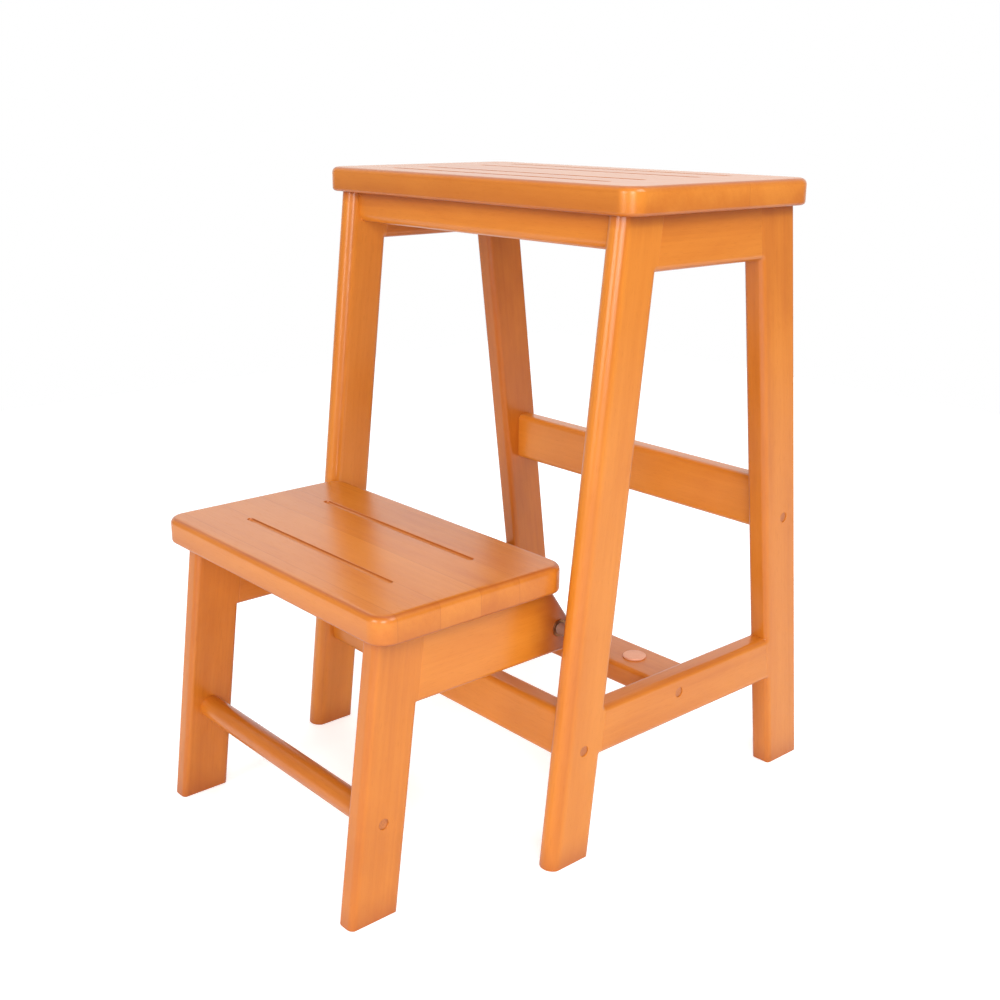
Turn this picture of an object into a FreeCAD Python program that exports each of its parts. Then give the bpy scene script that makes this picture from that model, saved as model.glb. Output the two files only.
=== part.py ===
import FreeCAD, Part
import math
import os
import Sketcher

# Folding wooden step ladder. Millimetres, +Z up, +X to the ladder's right, the fold-out step towards -Y.
# The document's origin is on the floor, at the middle of the opened ladder's footprint.
# Every piece is drawn about the point under the middle of the top board and shifted back as a whole.

os.makedirs("parts", exist_ok=True)
doc = FreeCAD.newDocument("step_ladder")

driving_sizes = {
    # main frame
    "leg_height": (480, "floor to the underside of the top board"),
    "frame_width": (334, "outer face to outer face of the side frames"),
    "frame_stock": (19, "thickness of the frame's boards"),
    "leg_width": (40, "level width of a main leg"),
    "front_splay": (55, "how far the front legs lean forward"),
    "rear_splay": (59.5, "how far the rear legs lean back"),
    "nose_round": (7, "outer front edge of the front legs"),
    "inner_round": (4, "inner front edge of the front legs"),
    "small_round": (2, "back edges of the rear legs"),
    # top board
    "top_depth": (199, "front edge to back edge of the top board"),
    "top_thickness": (20, "thickness of the top board"),
    "side_overhang": (12, "top board past the side frames"),
    "front_overhang": (5, "top board past the front legs"),
    "rear_overhang": (7, "top board past the rear legs"),
    "board_corner": (15, "plan radius of both boards' corners"),
    "board_edge": (4, "round on both boards' upper edges"),
    "board_underedge": (2, "round on both boards' lower edges"),
    "groove_width": (5, "grip grooves"),
    "groove_depth": (2, "grip grooves"),
    "top_groove_reach": (126, "middle to end of the top board's grooves"),
    "top_groove_inner": (30, "middle line to the inner pair of grooves"),
    "top_groove_outer": (66, "middle line to the outer pair of grooves"),
    # rails, aprons and stretchers
    "top_rail_height": (40, "side rail under the top board"),
    "lower_rail_bottom": (83, "floor to the lower side rail"),
    "lower_rail_height": (38.5, "lower side rail"),
    "apron_height": (25, "cross board under the top board"),
    "apron_setback": (7.5, "apron behind the legs' outer edge at the top"),
    "apron_round": (7, "lower outer edge of an apron"),
    "apron_dowel_inset": (8, "apron's outer face to its dowels' axis"),
    "stretcher_round": (3, "long edges of the stretchers"),
    "rear_stretcher_bottom": (215, "floor to the rear stretcher"),
    "rear_stretcher_height": (43.5, "rear stretcher"),
    "rear_stretcher_inset": (5.5, "rear stretcher inside the rear legs' back edge"),
    "front_stretcher_bottom": (81, "floor to the front stretcher"),
    "front_stretcher_height": (40, "front stretcher"),
    "pad_stretcher_bottom": (98.5, "floor to the flat stretcher that carries the folded step"),
    "pad_stretcher_thickness": (18, "flat stretcher, up and down"),
    "pad_stretcher_width": (42, "flat stretcher, front to back"),
    "pad_stretcher_offset": (-4, "middle of the flat stretcher from the top board's middle"),
    "pad_diameter": (19, "rest pad"),
    "pad_thickness": (2, "rest pad"),
    "pad_spacing": (220, "between the two rest pads"),
    # fold-out step
    "step_height": (234.5, "floor to the tread"),
    "tread_depth": (168.6, "front to back"),
    "tread_thickness": (21, "tread"),
    "tread_clearance": (2, "tread to each side frame when folded"),
    "tread_nosing": (10.1, "tread past the step legs"),
    "tread_tuck": (4.5, "tread behind the main legs' front edge"),
    "tread_groove_reach": (95, "middle to end of the tread's grooves"),
    "tread_groove_spread": (36.5, "tread's middle line to each groove"),
    "step_gap": (19.5, "step frame to main frame"),
    "step_stock": (16.5, "thickness of the step frame's boards"),
    "step_leg_width": (41, "level width of a step leg"),
    "step_splay": (27.5, "how far the step legs lean forward"),
    "step_round": (5, "outer front edge of the step legs"),
    "rung_height": (74.5, "floor to the rung's axis"),
    "rung_diameter": (19, "rung"),
    "rung_socket": (8, "how far the rung enters each leg"),
    "tail_start": (-2, "top of the rails' slanted end behind the tread"),
    "tail_reach": (28, "foot of the rails' slanted end behind the pivot"),
    "rail_below_pivot": (20, "wood under the pivot axis"),
    "rest_gap": (0.3, "folded tread above the rest pads"),
    # pivots
    "pivot_diameter": (7, "shoulder of the pivot bolt"),
    "running_fit": (0.05, "radial play round the shoulder"),
    "side_play": (0.3, "end play on each side of the step rail"),
    "bushing_wall": (1.5, "pivot bushing"),
    "flange_diameter": (13, "bushing flange"),
    "flange_thickness": (1.2, "bushing flange"),
    "sleeve_wall": (1.2, "spacer sleeve"),
    "washer_diameter": (15, "pivot washer"),
    "washer_thickness": (1, "pivot washer"),
    "bolt_head_diameter": (12, "pivot bolt"),
    "bolt_head_height": (3.5, "pivot bolt"),
    "bolt_key": (4, "hexagon socket across flats"),
    "thread_diameter": (6, "pivot bolt thread"),
    "thread_length": (12, "pivot bolt thread"),
    "insert_diameter": (10, "threaded insert"),
    "insert_length": (13, "threaded insert"),
    # joinery
    "dowel_diameter": (8, "joint dowel"),
    "dowel_length": (30, "joint dowel"),
    "dowel_in_leg": (12, "cross dowel's depth in a leg"),
    "dowel_spacing": (20, "between the two dowels of a rail joint"),
    "joint_offset": (9, "screw and dowel each side of a stretcher's middle"),
    "glue_gap": (0.05, "radial glue gap round dowels, plugs and screws"),
    "screw_diameter": (4, "wood screw"),
    "screw_head_diameter": (7.6, "wood screw"),
    "screw_head_height": (3, "wood screw"),
    "counterbore_diameter": (8, "screw head recess and its plug"),
    "counterbore_depth": (8, "screw head recess in a leg"),
    "step_counterbore": (6, "screw head recess in a step leg"),
    "plug_recess": (0.8, "plug below the leg's face"),
    "stretcher_screw_bite": (30, "screw in a stretcher's end grain"),
    "rung_screw_bite": (25, "screw in the rung's end grain"),
    "board_screw_seat": (18, "wood between a board and its screw head"),
    "board_screw_bite": (12, "screw in a board"),
    "top_screw_spread": (25, "top rail screws each side of the middle"),
    "apron_screw_spread": (90, "apron screws each side of the middle"),
    "tread_screw_front": (24, "front tread screw behind the step leg's joint"),
    "tread_screw_back": (30.5, "rear tread screw in front of the tread's back edge"),
}

derived_places = {
    # Places that follow from the driving sizes; y is measured from the top board's middle.
    "outer_x": "sizes.frame_width / 2",
    "inner_x": "sizes.frame_width / 2 - sizes.frame_stock",
    "step_outer_x": "sizes.frame_width / 2 - sizes.frame_stock - sizes.step_gap",
    "step_inner_x": "sizes.frame_width / 2 - sizes.frame_stock - sizes.step_gap - sizes.step_stock",
    "front_top": "-sizes.top_depth / 2 + sizes.front_overhang",
    "rear_top": "sizes.top_depth / 2 - sizes.rear_overhang",
    "pad_top": "sizes.pad_stretcher_bottom + sizes.pad_stretcher_thickness + sizes.pad_thickness",
    "pivot_z": "(sizes.step_height + places.pad_top + sizes.rest_gap) / 2",
    "pivot_y": "places.front_top + sizes.leg_width / 2"
               " - sizes.front_splay * (sizes.leg_height - places.pivot_z) / sizes.leg_height",
    "tread_back": "places.front_top"
                  " - sizes.front_splay * (sizes.leg_height - sizes.step_height) / sizes.leg_height"
                  " + sizes.tread_tuck",
    "tread_front": "places.tread_back - sizes.tread_depth",
    "tread_under": "sizes.step_height - sizes.tread_thickness",
    "step_rail_bottom": "places.pivot_z - sizes.rail_below_pivot",
    "step_top": "places.tread_front + sizes.tread_nosing",
    "frame_shift": "-(places.step_top - sizes.step_splay + places.rear_top + sizes.rear_splay) / 2",
}


# ---- document, sheet and small helpers ----

def make_sheet():
    """The driving dimensions, one aliased cell each."""
    sheet = doc.addObject("Spreadsheet::Sheet", "sizes")
    for row, (alias, (value, note)) in enumerate(driving_sizes.items(), start=1):
        sheet.set(f"A{row}", alias)
        sheet.set(f"B{row}", str(value))
        sheet.setAlias(f"B{row}", alias)
        sheet.set(f"C{row}", note)
    doc.recompute()
    return sheet


def make_places():
    """The places worked out from the sheet."""
    places = doc.addObject("App::VarSet", "places")
    for name in derived_places:
        places.addProperty("App::PropertyFloat", name, "Places")
    for name, expression in derived_places.items():
        places.setExpression(name, expression)
    doc.recompute()
    return places


sizes = make_sheet()
places = make_places()


def leg_edge(z, top, splay, height):
    """Expression for the y of a leaning leg's outer edge at height z."""
    return f"({top} + {splay} * ({height} - ({z})) / {height})"


def front_edge(z):
    """Front edge of the main front legs."""
    return leg_edge(z, "places.front_top", "-sizes.front_splay", "sizes.leg_height")


def rear_edge(z):
    """Back edge of the main rear legs."""
    return leg_edge(z, "places.rear_top", "sizes.rear_splay", "sizes.leg_height")


def step_edge(z):
    """Front edge of the step legs."""
    return leg_edge(z, "places.step_top", "-sizes.step_splay", "places.tread_under")


def new_body(label):
    """A body that may hold several separate solids, shifted to the footprint's middle."""
    body = doc.addObject("PartDesign::Body", label)
    body.Label = label
    body.AllowCompound = True
    body.setExpression("Placement.Base.y", "places.frame_shift")
    return body


near = 1e-4
plane_roles = {"X": "YZ_Plane", "Y": "XZ_Plane", "Z": "XY_Plane"}
# The XZ plane's normal is -Y, so its offsets and extrusions are turned round.
plane_sign = {"X": 1, "Y": -1, "Z": 1}


def new_sketch(body, axis, start):
    """A sketch square to the axis, at the place start along it."""
    sketch = body.newObject("Sketcher::SketchObject", f"{body.Label}_sketch")
    plane = next(p for p in body.Origin.OriginFeatures if p.Role == plane_roles[axis])
    sketch.AttachmentSupport = [(plane, "")]
    sketch.MapMode = "FlatFace"
    sketch.setExpression("AttachmentOffset.Base.z", f"{plane_sign[axis]} * ({start})")
    return sketch


def pin_point(sketch, geometry, point, x, y):
    """Dimension one point of a sketch from the sketch's origin."""
    for kind, expression in (("DistanceX", x), ("DistanceY", y)):
        index = sketch.addConstraint(Sketcher.Constraint(kind, -1, 1, geometry, point, 1.0))
        name = f"{kind}_{geometry}_{point}"
        sketch.renameConstraint(index, name)
        sketch.setExpression(f"Constraints.{name}", expression)


def draw_outline(sketch, corners):
    """A closed outline through the corners, each dimensioned from the origin."""
    count = len(corners)
    ring = [FreeCAD.Vector(math.cos(math.tau * i / count), math.sin(math.tau * i / count), 0)
            for i in range(count)]
    first = sketch.GeometryCount
    for i in range(count):
        sketch.addGeometry(Part.LineSegment(ring[i], ring[(i + 1) % count]), False)
    for i in range(count):
        following = first + (i + 1) % count
        sketch.addConstraint(Sketcher.Constraint("Coincident", first + i, 2, following, 1))
    for i, (x, y) in enumerate(corners):
        pin_point(sketch, first + i, 1, x, y)


def draw_circle(sketch, x, y, diameter):
    """A circle whose centre and diameter follow the sheet."""
    index = sketch.addGeometry(Part.Circle(FreeCAD.Vector(1, 1, 0), FreeCAD.Vector(0, 0, 1), 1), False)
    pin_point(sketch, index, 3, x, y)
    constraint = sketch.addConstraint(Sketcher.Constraint("Diameter", index, 2.0))
    sketch.renameConstraint(constraint, f"Diameter_{index}")
    sketch.setExpression(f"Constraints.Diameter_{index}", diameter)


def draw_slot(sketch, reach, y, width):
    """A round-ended slot along the sketch's x, from -reach to +reach."""
    up = FreeCAD.Vector(0, 0, 1)
    left = Part.Circle(FreeCAD.Vector(-3, 0, 0), up, 1)
    right = Part.Circle(FreeCAD.Vector(3, 0, 0), up, 1)
    west = sketch.addGeometry(Part.ArcOfCircle(left, math.pi / 2, 3 * math.pi / 2), False)
    east = sketch.addGeometry(Part.ArcOfCircle(right, -math.pi / 2, math.pi / 2), False)
    low = sketch.addGeometry(Part.LineSegment(FreeCAD.Vector(-3, -1, 0), FreeCAD.Vector(3, -1, 0)), False)
    high = sketch.addGeometry(Part.LineSegment(FreeCAD.Vector(3, 1, 0), FreeCAD.Vector(-3, 1, 0)), False)
    for arc, arc_end, line, line_end in ((west, 2, low, 1), (east, 1, low, 2), (east, 2, high, 1),
                                         (west, 1, high, 2)):
        sketch.addConstraint(Sketcher.Constraint("Tangent", arc, arc_end, line, line_end))
    sketch.addConstraint(Sketcher.Constraint("Horizontal", low))
    sketch.addConstraint(Sketcher.Constraint("Horizontal", high))
    pin_point(sketch, west, 3, f"-({reach} - {width} / 2)", y)
    constraint = sketch.addConstraint(Sketcher.Constraint("DistanceX", -1, 1, east, 3, 3.0))
    sketch.renameConstraint(constraint, f"Reach_{east}")
    sketch.setExpression(f"Constraints.Reach_{east}", f"{reach} - {width} / 2")
    constraint = sketch.addConstraint(Sketcher.Constraint("Radius", west, 1.0))
    sketch.renameConstraint(constraint, f"Radius_{west}")
    sketch.setExpression(f"Constraints.Radius_{west}", f"{width} / 2")


def pad(body, sketch, axis, length):
    """Extrude a sketch towards the positive end of the axis."""
    feature = body.newObject("PartDesign::Pad", f"{body.Label}_pad")
    feature.Profile = sketch
    feature.setExpression("Length", length)
    feature.Reversed = plane_sign[axis] < 0
    doc.recompute()
    return feature


def cut(body, sketch, axis, length):
    """Pocket a sketch towards the positive end of the axis, and make sure that wood was removed."""
    before = body.Tip.Shape.Volume
    feature = body.newObject("PartDesign::Pocket", f"{body.Label}_pocket")
    feature.Profile = sketch
    feature.setExpression("Length", length)
    feature.Reversed = plane_sign[axis] > 0
    doc.recompute()
    if not feature.Shape.Volume < before:
        raise RuntimeError(f"{feature.Label} removed nothing")
    return feature


def drill(body, axis, start, length, spots, diameter):
    """Round holes at the spots, from start towards the positive end of the axis."""
    sketch = new_sketch(body, axis, start)
    for x, y in spots:
        draw_circle(sketch, x, y, diameter)
    cut(body, sketch, axis, length)


def round_edges(body, radius, chosen):
    """Fillet every edge of the body's last feature for which chosen(edge) is true."""
    base = body.Tip
    names = [f"Edge{i}" for i, edge in enumerate(base.Shape.Edges, start=1) if chosen(edge)]
    if not names:
        raise RuntimeError(f"{body.Label} has no edge to round")
    fillet = body.newObject("PartDesign::Fillet", f"{body.Label}_fillet")
    fillet.Base = (base, names)
    fillet.setExpression("Radius", radius)
    doc.recompute()


def middle(edge):
    """Middle of an edge's bounding box."""
    return edge.BoundBox.Center


def is_along(edge, axis):
    """True when a straight edge runs along one of the document's axes."""
    if edge.Curve.TypeId != "Part::GeomLine":
        return False
    direction = edge.tangentAt(edge.FirstParameter)
    return abs(direction[{"X": 0, "Y": 1, "Z": 2}[axis]]) > 0.999


def span(side, near, length):
    """Start of a stretch of that length, near the middle end given, on the left (-1) or right (1)."""
    return near if side > 0 else f"-({near} + {length})"


# ---- where the joints are, shared by the wood that is drilled and the pins that fill it ----

dowel_hole = "sizes.dowel_diameter + 2 * sizes.glue_gap"
screw_hole = "sizes.screw_diameter + 2 * sizes.glue_gap"
plug_hole = "sizes.counterbore_diameter + 2 * sizes.glue_gap"
rail_middles = {
    "top": "sizes.leg_height - sizes.top_rail_height / 2",
    "lower": "sizes.lower_rail_bottom + sizes.lower_rail_height / 2",
}
step_rail_middle = "(places.tread_under + places.step_rail_bottom) / 2"
# Where a rail meets a leg: the leg's inner edge at the rail's middle height.
front_joint = {rail: f"{front_edge(z)} + sizes.leg_width" for rail, z in rail_middles.items()}
rear_joint = {rail: f"{rear_edge(z)} - sizes.leg_width" for rail, z in rail_middles.items()}
step_joint = f"{step_edge(step_rail_middle)} + sizes.step_leg_width"

rear_stretcher_middle = "sizes.rear_stretcher_bottom + sizes.rear_stretcher_height / 2"
front_stretcher_middle = "sizes.front_stretcher_bottom + sizes.front_stretcher_height / 2"
rear_stretcher_back = f"{rear_edge(rear_stretcher_middle)} - sizes.rear_stretcher_inset"
front_stretcher_front = (f"{front_edge(front_stretcher_middle)}"
                         " + (sizes.leg_width - sizes.frame_stock) / 2")
rear_stretcher_y = f"{rear_stretcher_back} - sizes.frame_stock / 2"
front_stretcher_y = f"{front_stretcher_front} + sizes.frame_stock / 2"
pad_stretcher_y = "sizes.pad_stretcher_offset"
pad_stretcher_z = "sizes.pad_stretcher_bottom + sizes.pad_stretcher_thickness / 2"
apron_z = "sizes.leg_height - sizes.apron_height / 2"
front_apron_y = "places.front_top + sizes.apron_setback + sizes.frame_stock / 2"
rear_apron_y = "places.rear_top - sizes.apron_setback - sizes.frame_stock / 2"

# (y, z) of the screws and dowels that run across the ladder
stretcher_screws = {
    "front": (front_stretcher_y, f"{front_stretcher_middle} - sizes.joint_offset"),
    "rear": (rear_stretcher_y, f"{rear_stretcher_middle} - sizes.joint_offset"),
    "pad": (f"{pad_stretcher_y} - sizes.joint_offset", pad_stretcher_z),
}
stretcher_dowels = {
    "front": (front_stretcher_y, f"{front_stretcher_middle} + sizes.joint_offset"),
    "rear": (rear_stretcher_y, f"{rear_stretcher_middle} + sizes.joint_offset"),
    "pad": (f"{pad_stretcher_y} + sizes.joint_offset", pad_stretcher_z),
}
apron_dowels = {
    "front": ("places.front_top + sizes.apron_setback + sizes.apron_dowel_inset", apron_z),
    "rear": ("places.rear_top - sizes.apron_setback - sizes.apron_dowel_inset", apron_z),
}
apron_y = {"front": front_apron_y, "rear": rear_apron_y}
rung_spot = (f"{step_edge('sizes.rung_height')} + sizes.step_leg_width / 2", "sizes.rung_height")
pivot_spot = ("places.pivot_y", "places.pivot_z")


def dowel_pair(middle_x, middle_z):
    """The two dowels of a rail joint, one above the other, as (x, z)."""
    return [(middle_x, f"{middle_z} {sign} sizes.dowel_spacing / 2") for sign in ("-", "+")]


def frame_middle_x(side):
    """Middle of a main side frame's thickness."""
    return f"{side} * (places.outer_x - sizes.frame_stock / 2)"


def step_middle_x(side):
    """Middle of a step frame's thickness."""
    return f"{side} * (places.step_outer_x - sizes.step_stock / 2)"


# ---- main frame ----

def board_outline(sketch, half_length, front, back):
    """The rectangle of a board seen from above."""
    draw_outline(sketch, [(f"-({half_length})", front), (half_length, front),
                          (half_length, back), (f"-({half_length})", back)])


def round_board(body):
    """Rounded plan corners, a soft upper edge and a smaller lower one."""
    round_edges(body, "sizes.board_corner", lambda edge: is_along(edge, "Z"))
    top = body.Tip.Shape.BoundBox.ZMax
    bottom = body.Tip.Shape.BoundBox.ZMin
    round_edges(body, "sizes.board_edge", lambda edge: abs(edge.BoundBox.ZMin - top) < near)
    round_edges(body, "sizes.board_underedge", lambda edge: abs(edge.BoundBox.ZMax - bottom) < near)


def make_top_board():
    """The standing board, with four grip grooves and the holes of its screws."""
    body = new_body("top_board")
    sketch = new_sketch(body, "Z", "sizes.leg_height")
    board_outline(sketch, "places.outer_x + sizes.side_overhang", "-sizes.top_depth / 2",
                  "sizes.top_depth / 2")
    pad(body, sketch, "Z", "sizes.top_thickness")
    round_board(body)
    grooves = new_sketch(body, "Z", "sizes.leg_height + sizes.top_thickness - sizes.groove_depth")
    for y in ("-sizes.top_groove_outer", "-sizes.top_groove_inner", "sizes.top_groove_inner",
              "sizes.top_groove_outer"):
        draw_slot(grooves, "sizes.top_groove_reach", y, "sizes.groove_width")
    cut(body, grooves, "Z", "sizes.groove_depth")
    drill(body, "Z", "sizes.leg_height", "sizes.board_screw_bite + sizes.glue_gap", top_screw_spots(),
          screw_hole)


def rail_screw_spots(side):
    """(x, y) of the two screws that rise through a top rail into the top board."""
    return [(frame_middle_x(side), f"{sign}sizes.top_screw_spread") for sign in ("-", "")]


def apron_screw_spots(place):
    """(x, y) of the two screws that rise through an apron into the top board."""
    return [(f"{sign}sizes.apron_screw_spread", apron_y[place]) for sign in ("-", "")]


def top_screw_spots():
    """(x, y) of all the screws that hold the top board."""
    return (rail_screw_spots(-1) + rail_screw_spots(1)
            + apron_screw_spots("front") + apron_screw_spots("rear"))


def drill_rail_joints(body, side, joints):
    """Dowel holes where both rails of a side frame meet a leg."""
    for rail, joint in joints.items():
        spots = dowel_pair(frame_middle_x(side), rail_middles[rail])
        drill(body, "Y", f"{joint} - sizes.dowel_length / 2 - sizes.glue_gap",
              "sizes.dowel_length + 2 * sizes.glue_gap", spots, dowel_hole)


def drill_cross_joint(body, side, inner, outer, screw, dowel, deep):
    """Counterbore, screw hole and dowel hole of one stretcher end in a leg or rail."""
    if screw:
        bore = span(side, f"{outer} - sizes.counterbore_depth", "sizes.counterbore_depth")
        drill(body, "X", bore, "sizes.counterbore_depth", [screw], plug_hole)
        shank = span(side, inner, f"({outer} - {inner})")
        drill(body, "X", shank, f"{outer} - {inner}", [screw], screw_hole)
    if dowel:
        start = span(side, inner, deep)
        drill(body, "X", start, deep, [dowel], dowel_hole)


def make_main_leg(label, side, place):
    """One leaning leg of a side frame; place is 'front' or 'rear'."""
    body = new_body(label)
    edge = front_edge if place == "front" else rear_edge
    width = "sizes.leg_width" if place == "front" else "-sizes.leg_width"
    sketch = new_sketch(body, "X", span(side, "places.inner_x", "sizes.frame_stock"))
    top = "sizes.leg_height"
    draw_outline(sketch, [(edge("0"), "0"), (f"{edge('0')} + {width}", "0"),
                          (f"{edge(top)} + {width}", top), (edge(top), top)])
    pad(body, sketch, "X", "sizes.frame_stock")
    if place == "front":
        round_leg_nose(body, side)
    else:
        round_rear_edges(body)
    drill_rail_joints(body, side, front_joint if place == "front" else rear_joint)
    deep = "sizes.dowel_in_leg + sizes.glue_gap"
    drill_cross_joint(body, side, "places.inner_x", "places.outer_x", stretcher_screws[place],
                      stretcher_dowels[place], deep)
    drill_cross_joint(body, side, "places.inner_x", "places.outer_x", None, apron_dowels[place], deep)
    if place == "front":
        socket = "sizes.insert_length + sizes.glue_gap"
        drill(body, "X", span(side, "places.inner_x", f"({socket})"), socket, [pivot_spot],
              "sizes.insert_diameter + 2 * sizes.glue_gap")


def runs_up(edge):
    """True for the long edges of a leaning leg."""
    box = edge.BoundBox
    return edge.Curve.TypeId == "Part::GeomLine" and box.ZLength > box.XLength + box.YLength


def round_leg_nose(body, side):
    """A large round on the outer front edge of a front leg and a smaller one on the inner."""
    for radius, outer in (("sizes.nose_round", True), ("sizes.inner_round", False)):
        box = body.Tip.Shape.BoundBox
        face = box.XMax if (side > 0) == outer else box.XMin
        round_edges(body, radius, lambda edge: runs_up(edge) and abs(middle(edge).x - face) < near
                    and edge.BoundBox.YMin < box.YMin + near)


def round_rear_edges(body):
    """A small round on both back edges of a rear leg."""
    back = body.Tip.Shape.BoundBox.YMax
    round_edges(body, "sizes.small_round", lambda edge: runs_up(edge)
                and edge.BoundBox.YMax > back - near)


def make_side_rail(label, side, rail):
    """A rail between the legs of a side frame, its ends cut to the legs' lean."""
    body = new_body(label)
    bottom = "sizes.leg_height - sizes.top_rail_height" if rail == "top" else "sizes.lower_rail_bottom"
    top = "sizes.leg_height" if rail == "top" else "sizes.lower_rail_bottom + sizes.lower_rail_height"
    sketch = new_sketch(body, "X", span(side, "places.inner_x", "sizes.frame_stock"))
    draw_outline(sketch, [(f"{front_edge(bottom)} + sizes.leg_width", bottom),
                          (f"{rear_edge(bottom)} - sizes.leg_width", bottom),
                          (f"{rear_edge(top)} - sizes.leg_width", top),
                          (f"{front_edge(top)} + sizes.leg_width", top)])
    pad(body, sketch, "X", "sizes.frame_stock")
    drill_rail_joints(body, side, {rail: front_joint[rail]})
    drill_rail_joints(body, side, {rail: rear_joint[rail]})
    if rail == "top":
        drill_board_screws(body, "sizes.leg_height", "sizes.top_rail_height", rail_screw_spots(side))
    else:
        drill_cross_joint(body, side, "places.inner_x", "places.outer_x", stretcher_screws["pad"],
                          stretcher_dowels["pad"], "sizes.dowel_in_leg + sizes.glue_gap")


def drill_board_screws(body, top, height, spots):
    """Upright screw holes through a rail or apron under a board, with their deep counterbores."""
    drill(body, "Z", f"{top} - ({height})", height, spots, screw_hole)
    drill(body, "Z", f"{top} - ({height})", f"{height} - sizes.board_screw_seat", spots, plug_hole)


def drill_stretcher_end(body, side, spots, bite):
    """Blind screw or dowel holes in the end of a cross piece."""
    hole, diameter = bite
    drill(body, "X", span(side, f"places.inner_x - ({hole})", f"({hole})"), hole, spots, diameter)


def drill_stretcher(body, screw, dowel):
    """Screw and dowel holes in both ends of a stretcher."""
    screw_bite = ("sizes.stretcher_screw_bite + sizes.glue_gap", screw_hole)
    dowel_bite = ("sizes.dowel_length - sizes.dowel_in_leg + sizes.glue_gap", dowel_hole)
    for side in (-1, 1):
        if screw:
            drill_stretcher_end(body, side, [screw], screw_bite)
        drill_stretcher_end(body, side, [dowel], dowel_bite)


def make_apron(label, place):
    """The cross board under the top board; its lower outer edge is well rounded."""
    body = new_body(label)
    sketch = new_sketch(body, "Z", "sizes.leg_height - sizes.apron_height")
    board_outline(sketch, "places.inner_x", f"{apron_y[place]} - sizes.frame_stock / 2",
                  f"{apron_y[place]} + sizes.frame_stock / 2")
    pad(body, sketch, "Z", "sizes.apron_height")
    box = body.Tip.Shape.BoundBox
    outer = box.YMin if place == "front" else box.YMax
    round_edges(body, "sizes.apron_round", lambda edge: is_along(edge, "X")
                and abs(middle(edge).y - outer) < near and abs(middle(edge).z - box.ZMin) < near)
    drill_stretcher(body, None, apron_dowels[place])
    drill_board_screws(body, "sizes.leg_height", "sizes.apron_height", apron_screw_spots(place))


def make_stretcher(label, place, front, bottom, depth, height):
    """A cross bar between the side frames, rounded along its four long edges."""
    body = new_body(label)
    sketch = new_sketch(body, "Z", bottom)
    board_outline(sketch, "places.inner_x", front, f"{front} + {depth}")
    pad(body, sketch, "Z", height)
    round_edges(body, "sizes.stretcher_round", lambda edge: is_along(edge, "X"))
    drill_stretcher(body, stretcher_screws[place], stretcher_dowels[place])


# ---- fold-out step ----

tread_middle_y = "(places.tread_front + places.tread_back) / 2"
bushing_diameter = "(sizes.pivot_diameter + 2 * sizes.running_fit + 2 * sizes.bushing_wall)"
bushing_hole = f"{bushing_diameter} + 2 * sizes.glue_gap"


def make_tread():
    """The step's board, with two grip grooves."""
    body = new_body("step_tread")
    half = "places.inner_x - sizes.tread_clearance"
    sketch = new_sketch(body, "Z", "places.tread_under")
    board_outline(sketch, half, "places.tread_front", "places.tread_back")
    pad(body, sketch, "Z", "sizes.tread_thickness")
    round_board(body)
    grooves = new_sketch(body, "Z", "sizes.step_height - sizes.groove_depth")
    for sign in ("-", "+"):
        draw_slot(grooves, "sizes.tread_groove_reach",
                  f"{tread_middle_y} {sign} sizes.tread_groove_spread", "sizes.groove_width")
    cut(body, grooves, "Z", "sizes.groove_depth")
    drill(body, "Z", "places.tread_under", "sizes.board_screw_bite + sizes.glue_gap",
          tread_screw_spots((-1, 1)), screw_hole)


def tread_screw_spots(sides):
    """(x, y) of the screws that hold the tread, two in each step rail."""
    return [(step_middle_x(side), y) for side in sides
            for y in (f"{step_joint} + sizes.tread_screw_front",
                      "places.tread_back - sizes.tread_screw_back")]


def drill_step_joint(body, side):
    """Dowel holes where a step rail meets its leg."""
    spots = dowel_pair(step_middle_x(side), step_rail_middle)
    drill(body, "Y", f"{step_joint} - sizes.dowel_length / 2 - sizes.glue_gap",
          "sizes.dowel_length + 2 * sizes.glue_gap", spots, dowel_hole)


def make_step_leg(label, side):
    """A front leg of the step, with the rung's socket and its screw."""
    body = new_body(label)
    sketch = new_sketch(body, "X", span(side, "places.step_inner_x", "sizes.step_stock"))
    top = "places.tread_under"
    draw_outline(sketch, [(step_edge("0"), "0"), (f"{step_edge('0')} + sizes.step_leg_width", "0"),
                          (f"{step_edge(top)} + sizes.step_leg_width", top), (step_edge(top), top)])
    pad(body, sketch, "X", "sizes.step_stock")
    box = body.Tip.Shape.BoundBox
    outer = box.XMax if side > 0 else box.XMin
    round_edges(body, "sizes.step_round", lambda edge: runs_up(edge)
                and abs(middle(edge).x - outer) < near and edge.BoundBox.YMin < box.YMin + near)
    drill_step_joint(body, side)
    socket = "sizes.rung_socket + sizes.glue_gap"
    drill(body, "X", span(side, "places.step_inner_x", f"({socket})"), socket, [rung_spot],
          "sizes.rung_diameter + 2 * sizes.glue_gap")
    drill(body, "X", span(side, "places.step_inner_x", "sizes.step_stock"), "sizes.step_stock",
          [rung_spot], screw_hole)
    drill(body, "X", span(side, "(places.step_outer_x - sizes.step_counterbore)",
                          "sizes.step_counterbore"), "sizes.step_counterbore", [rung_spot], plug_hole)


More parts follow.
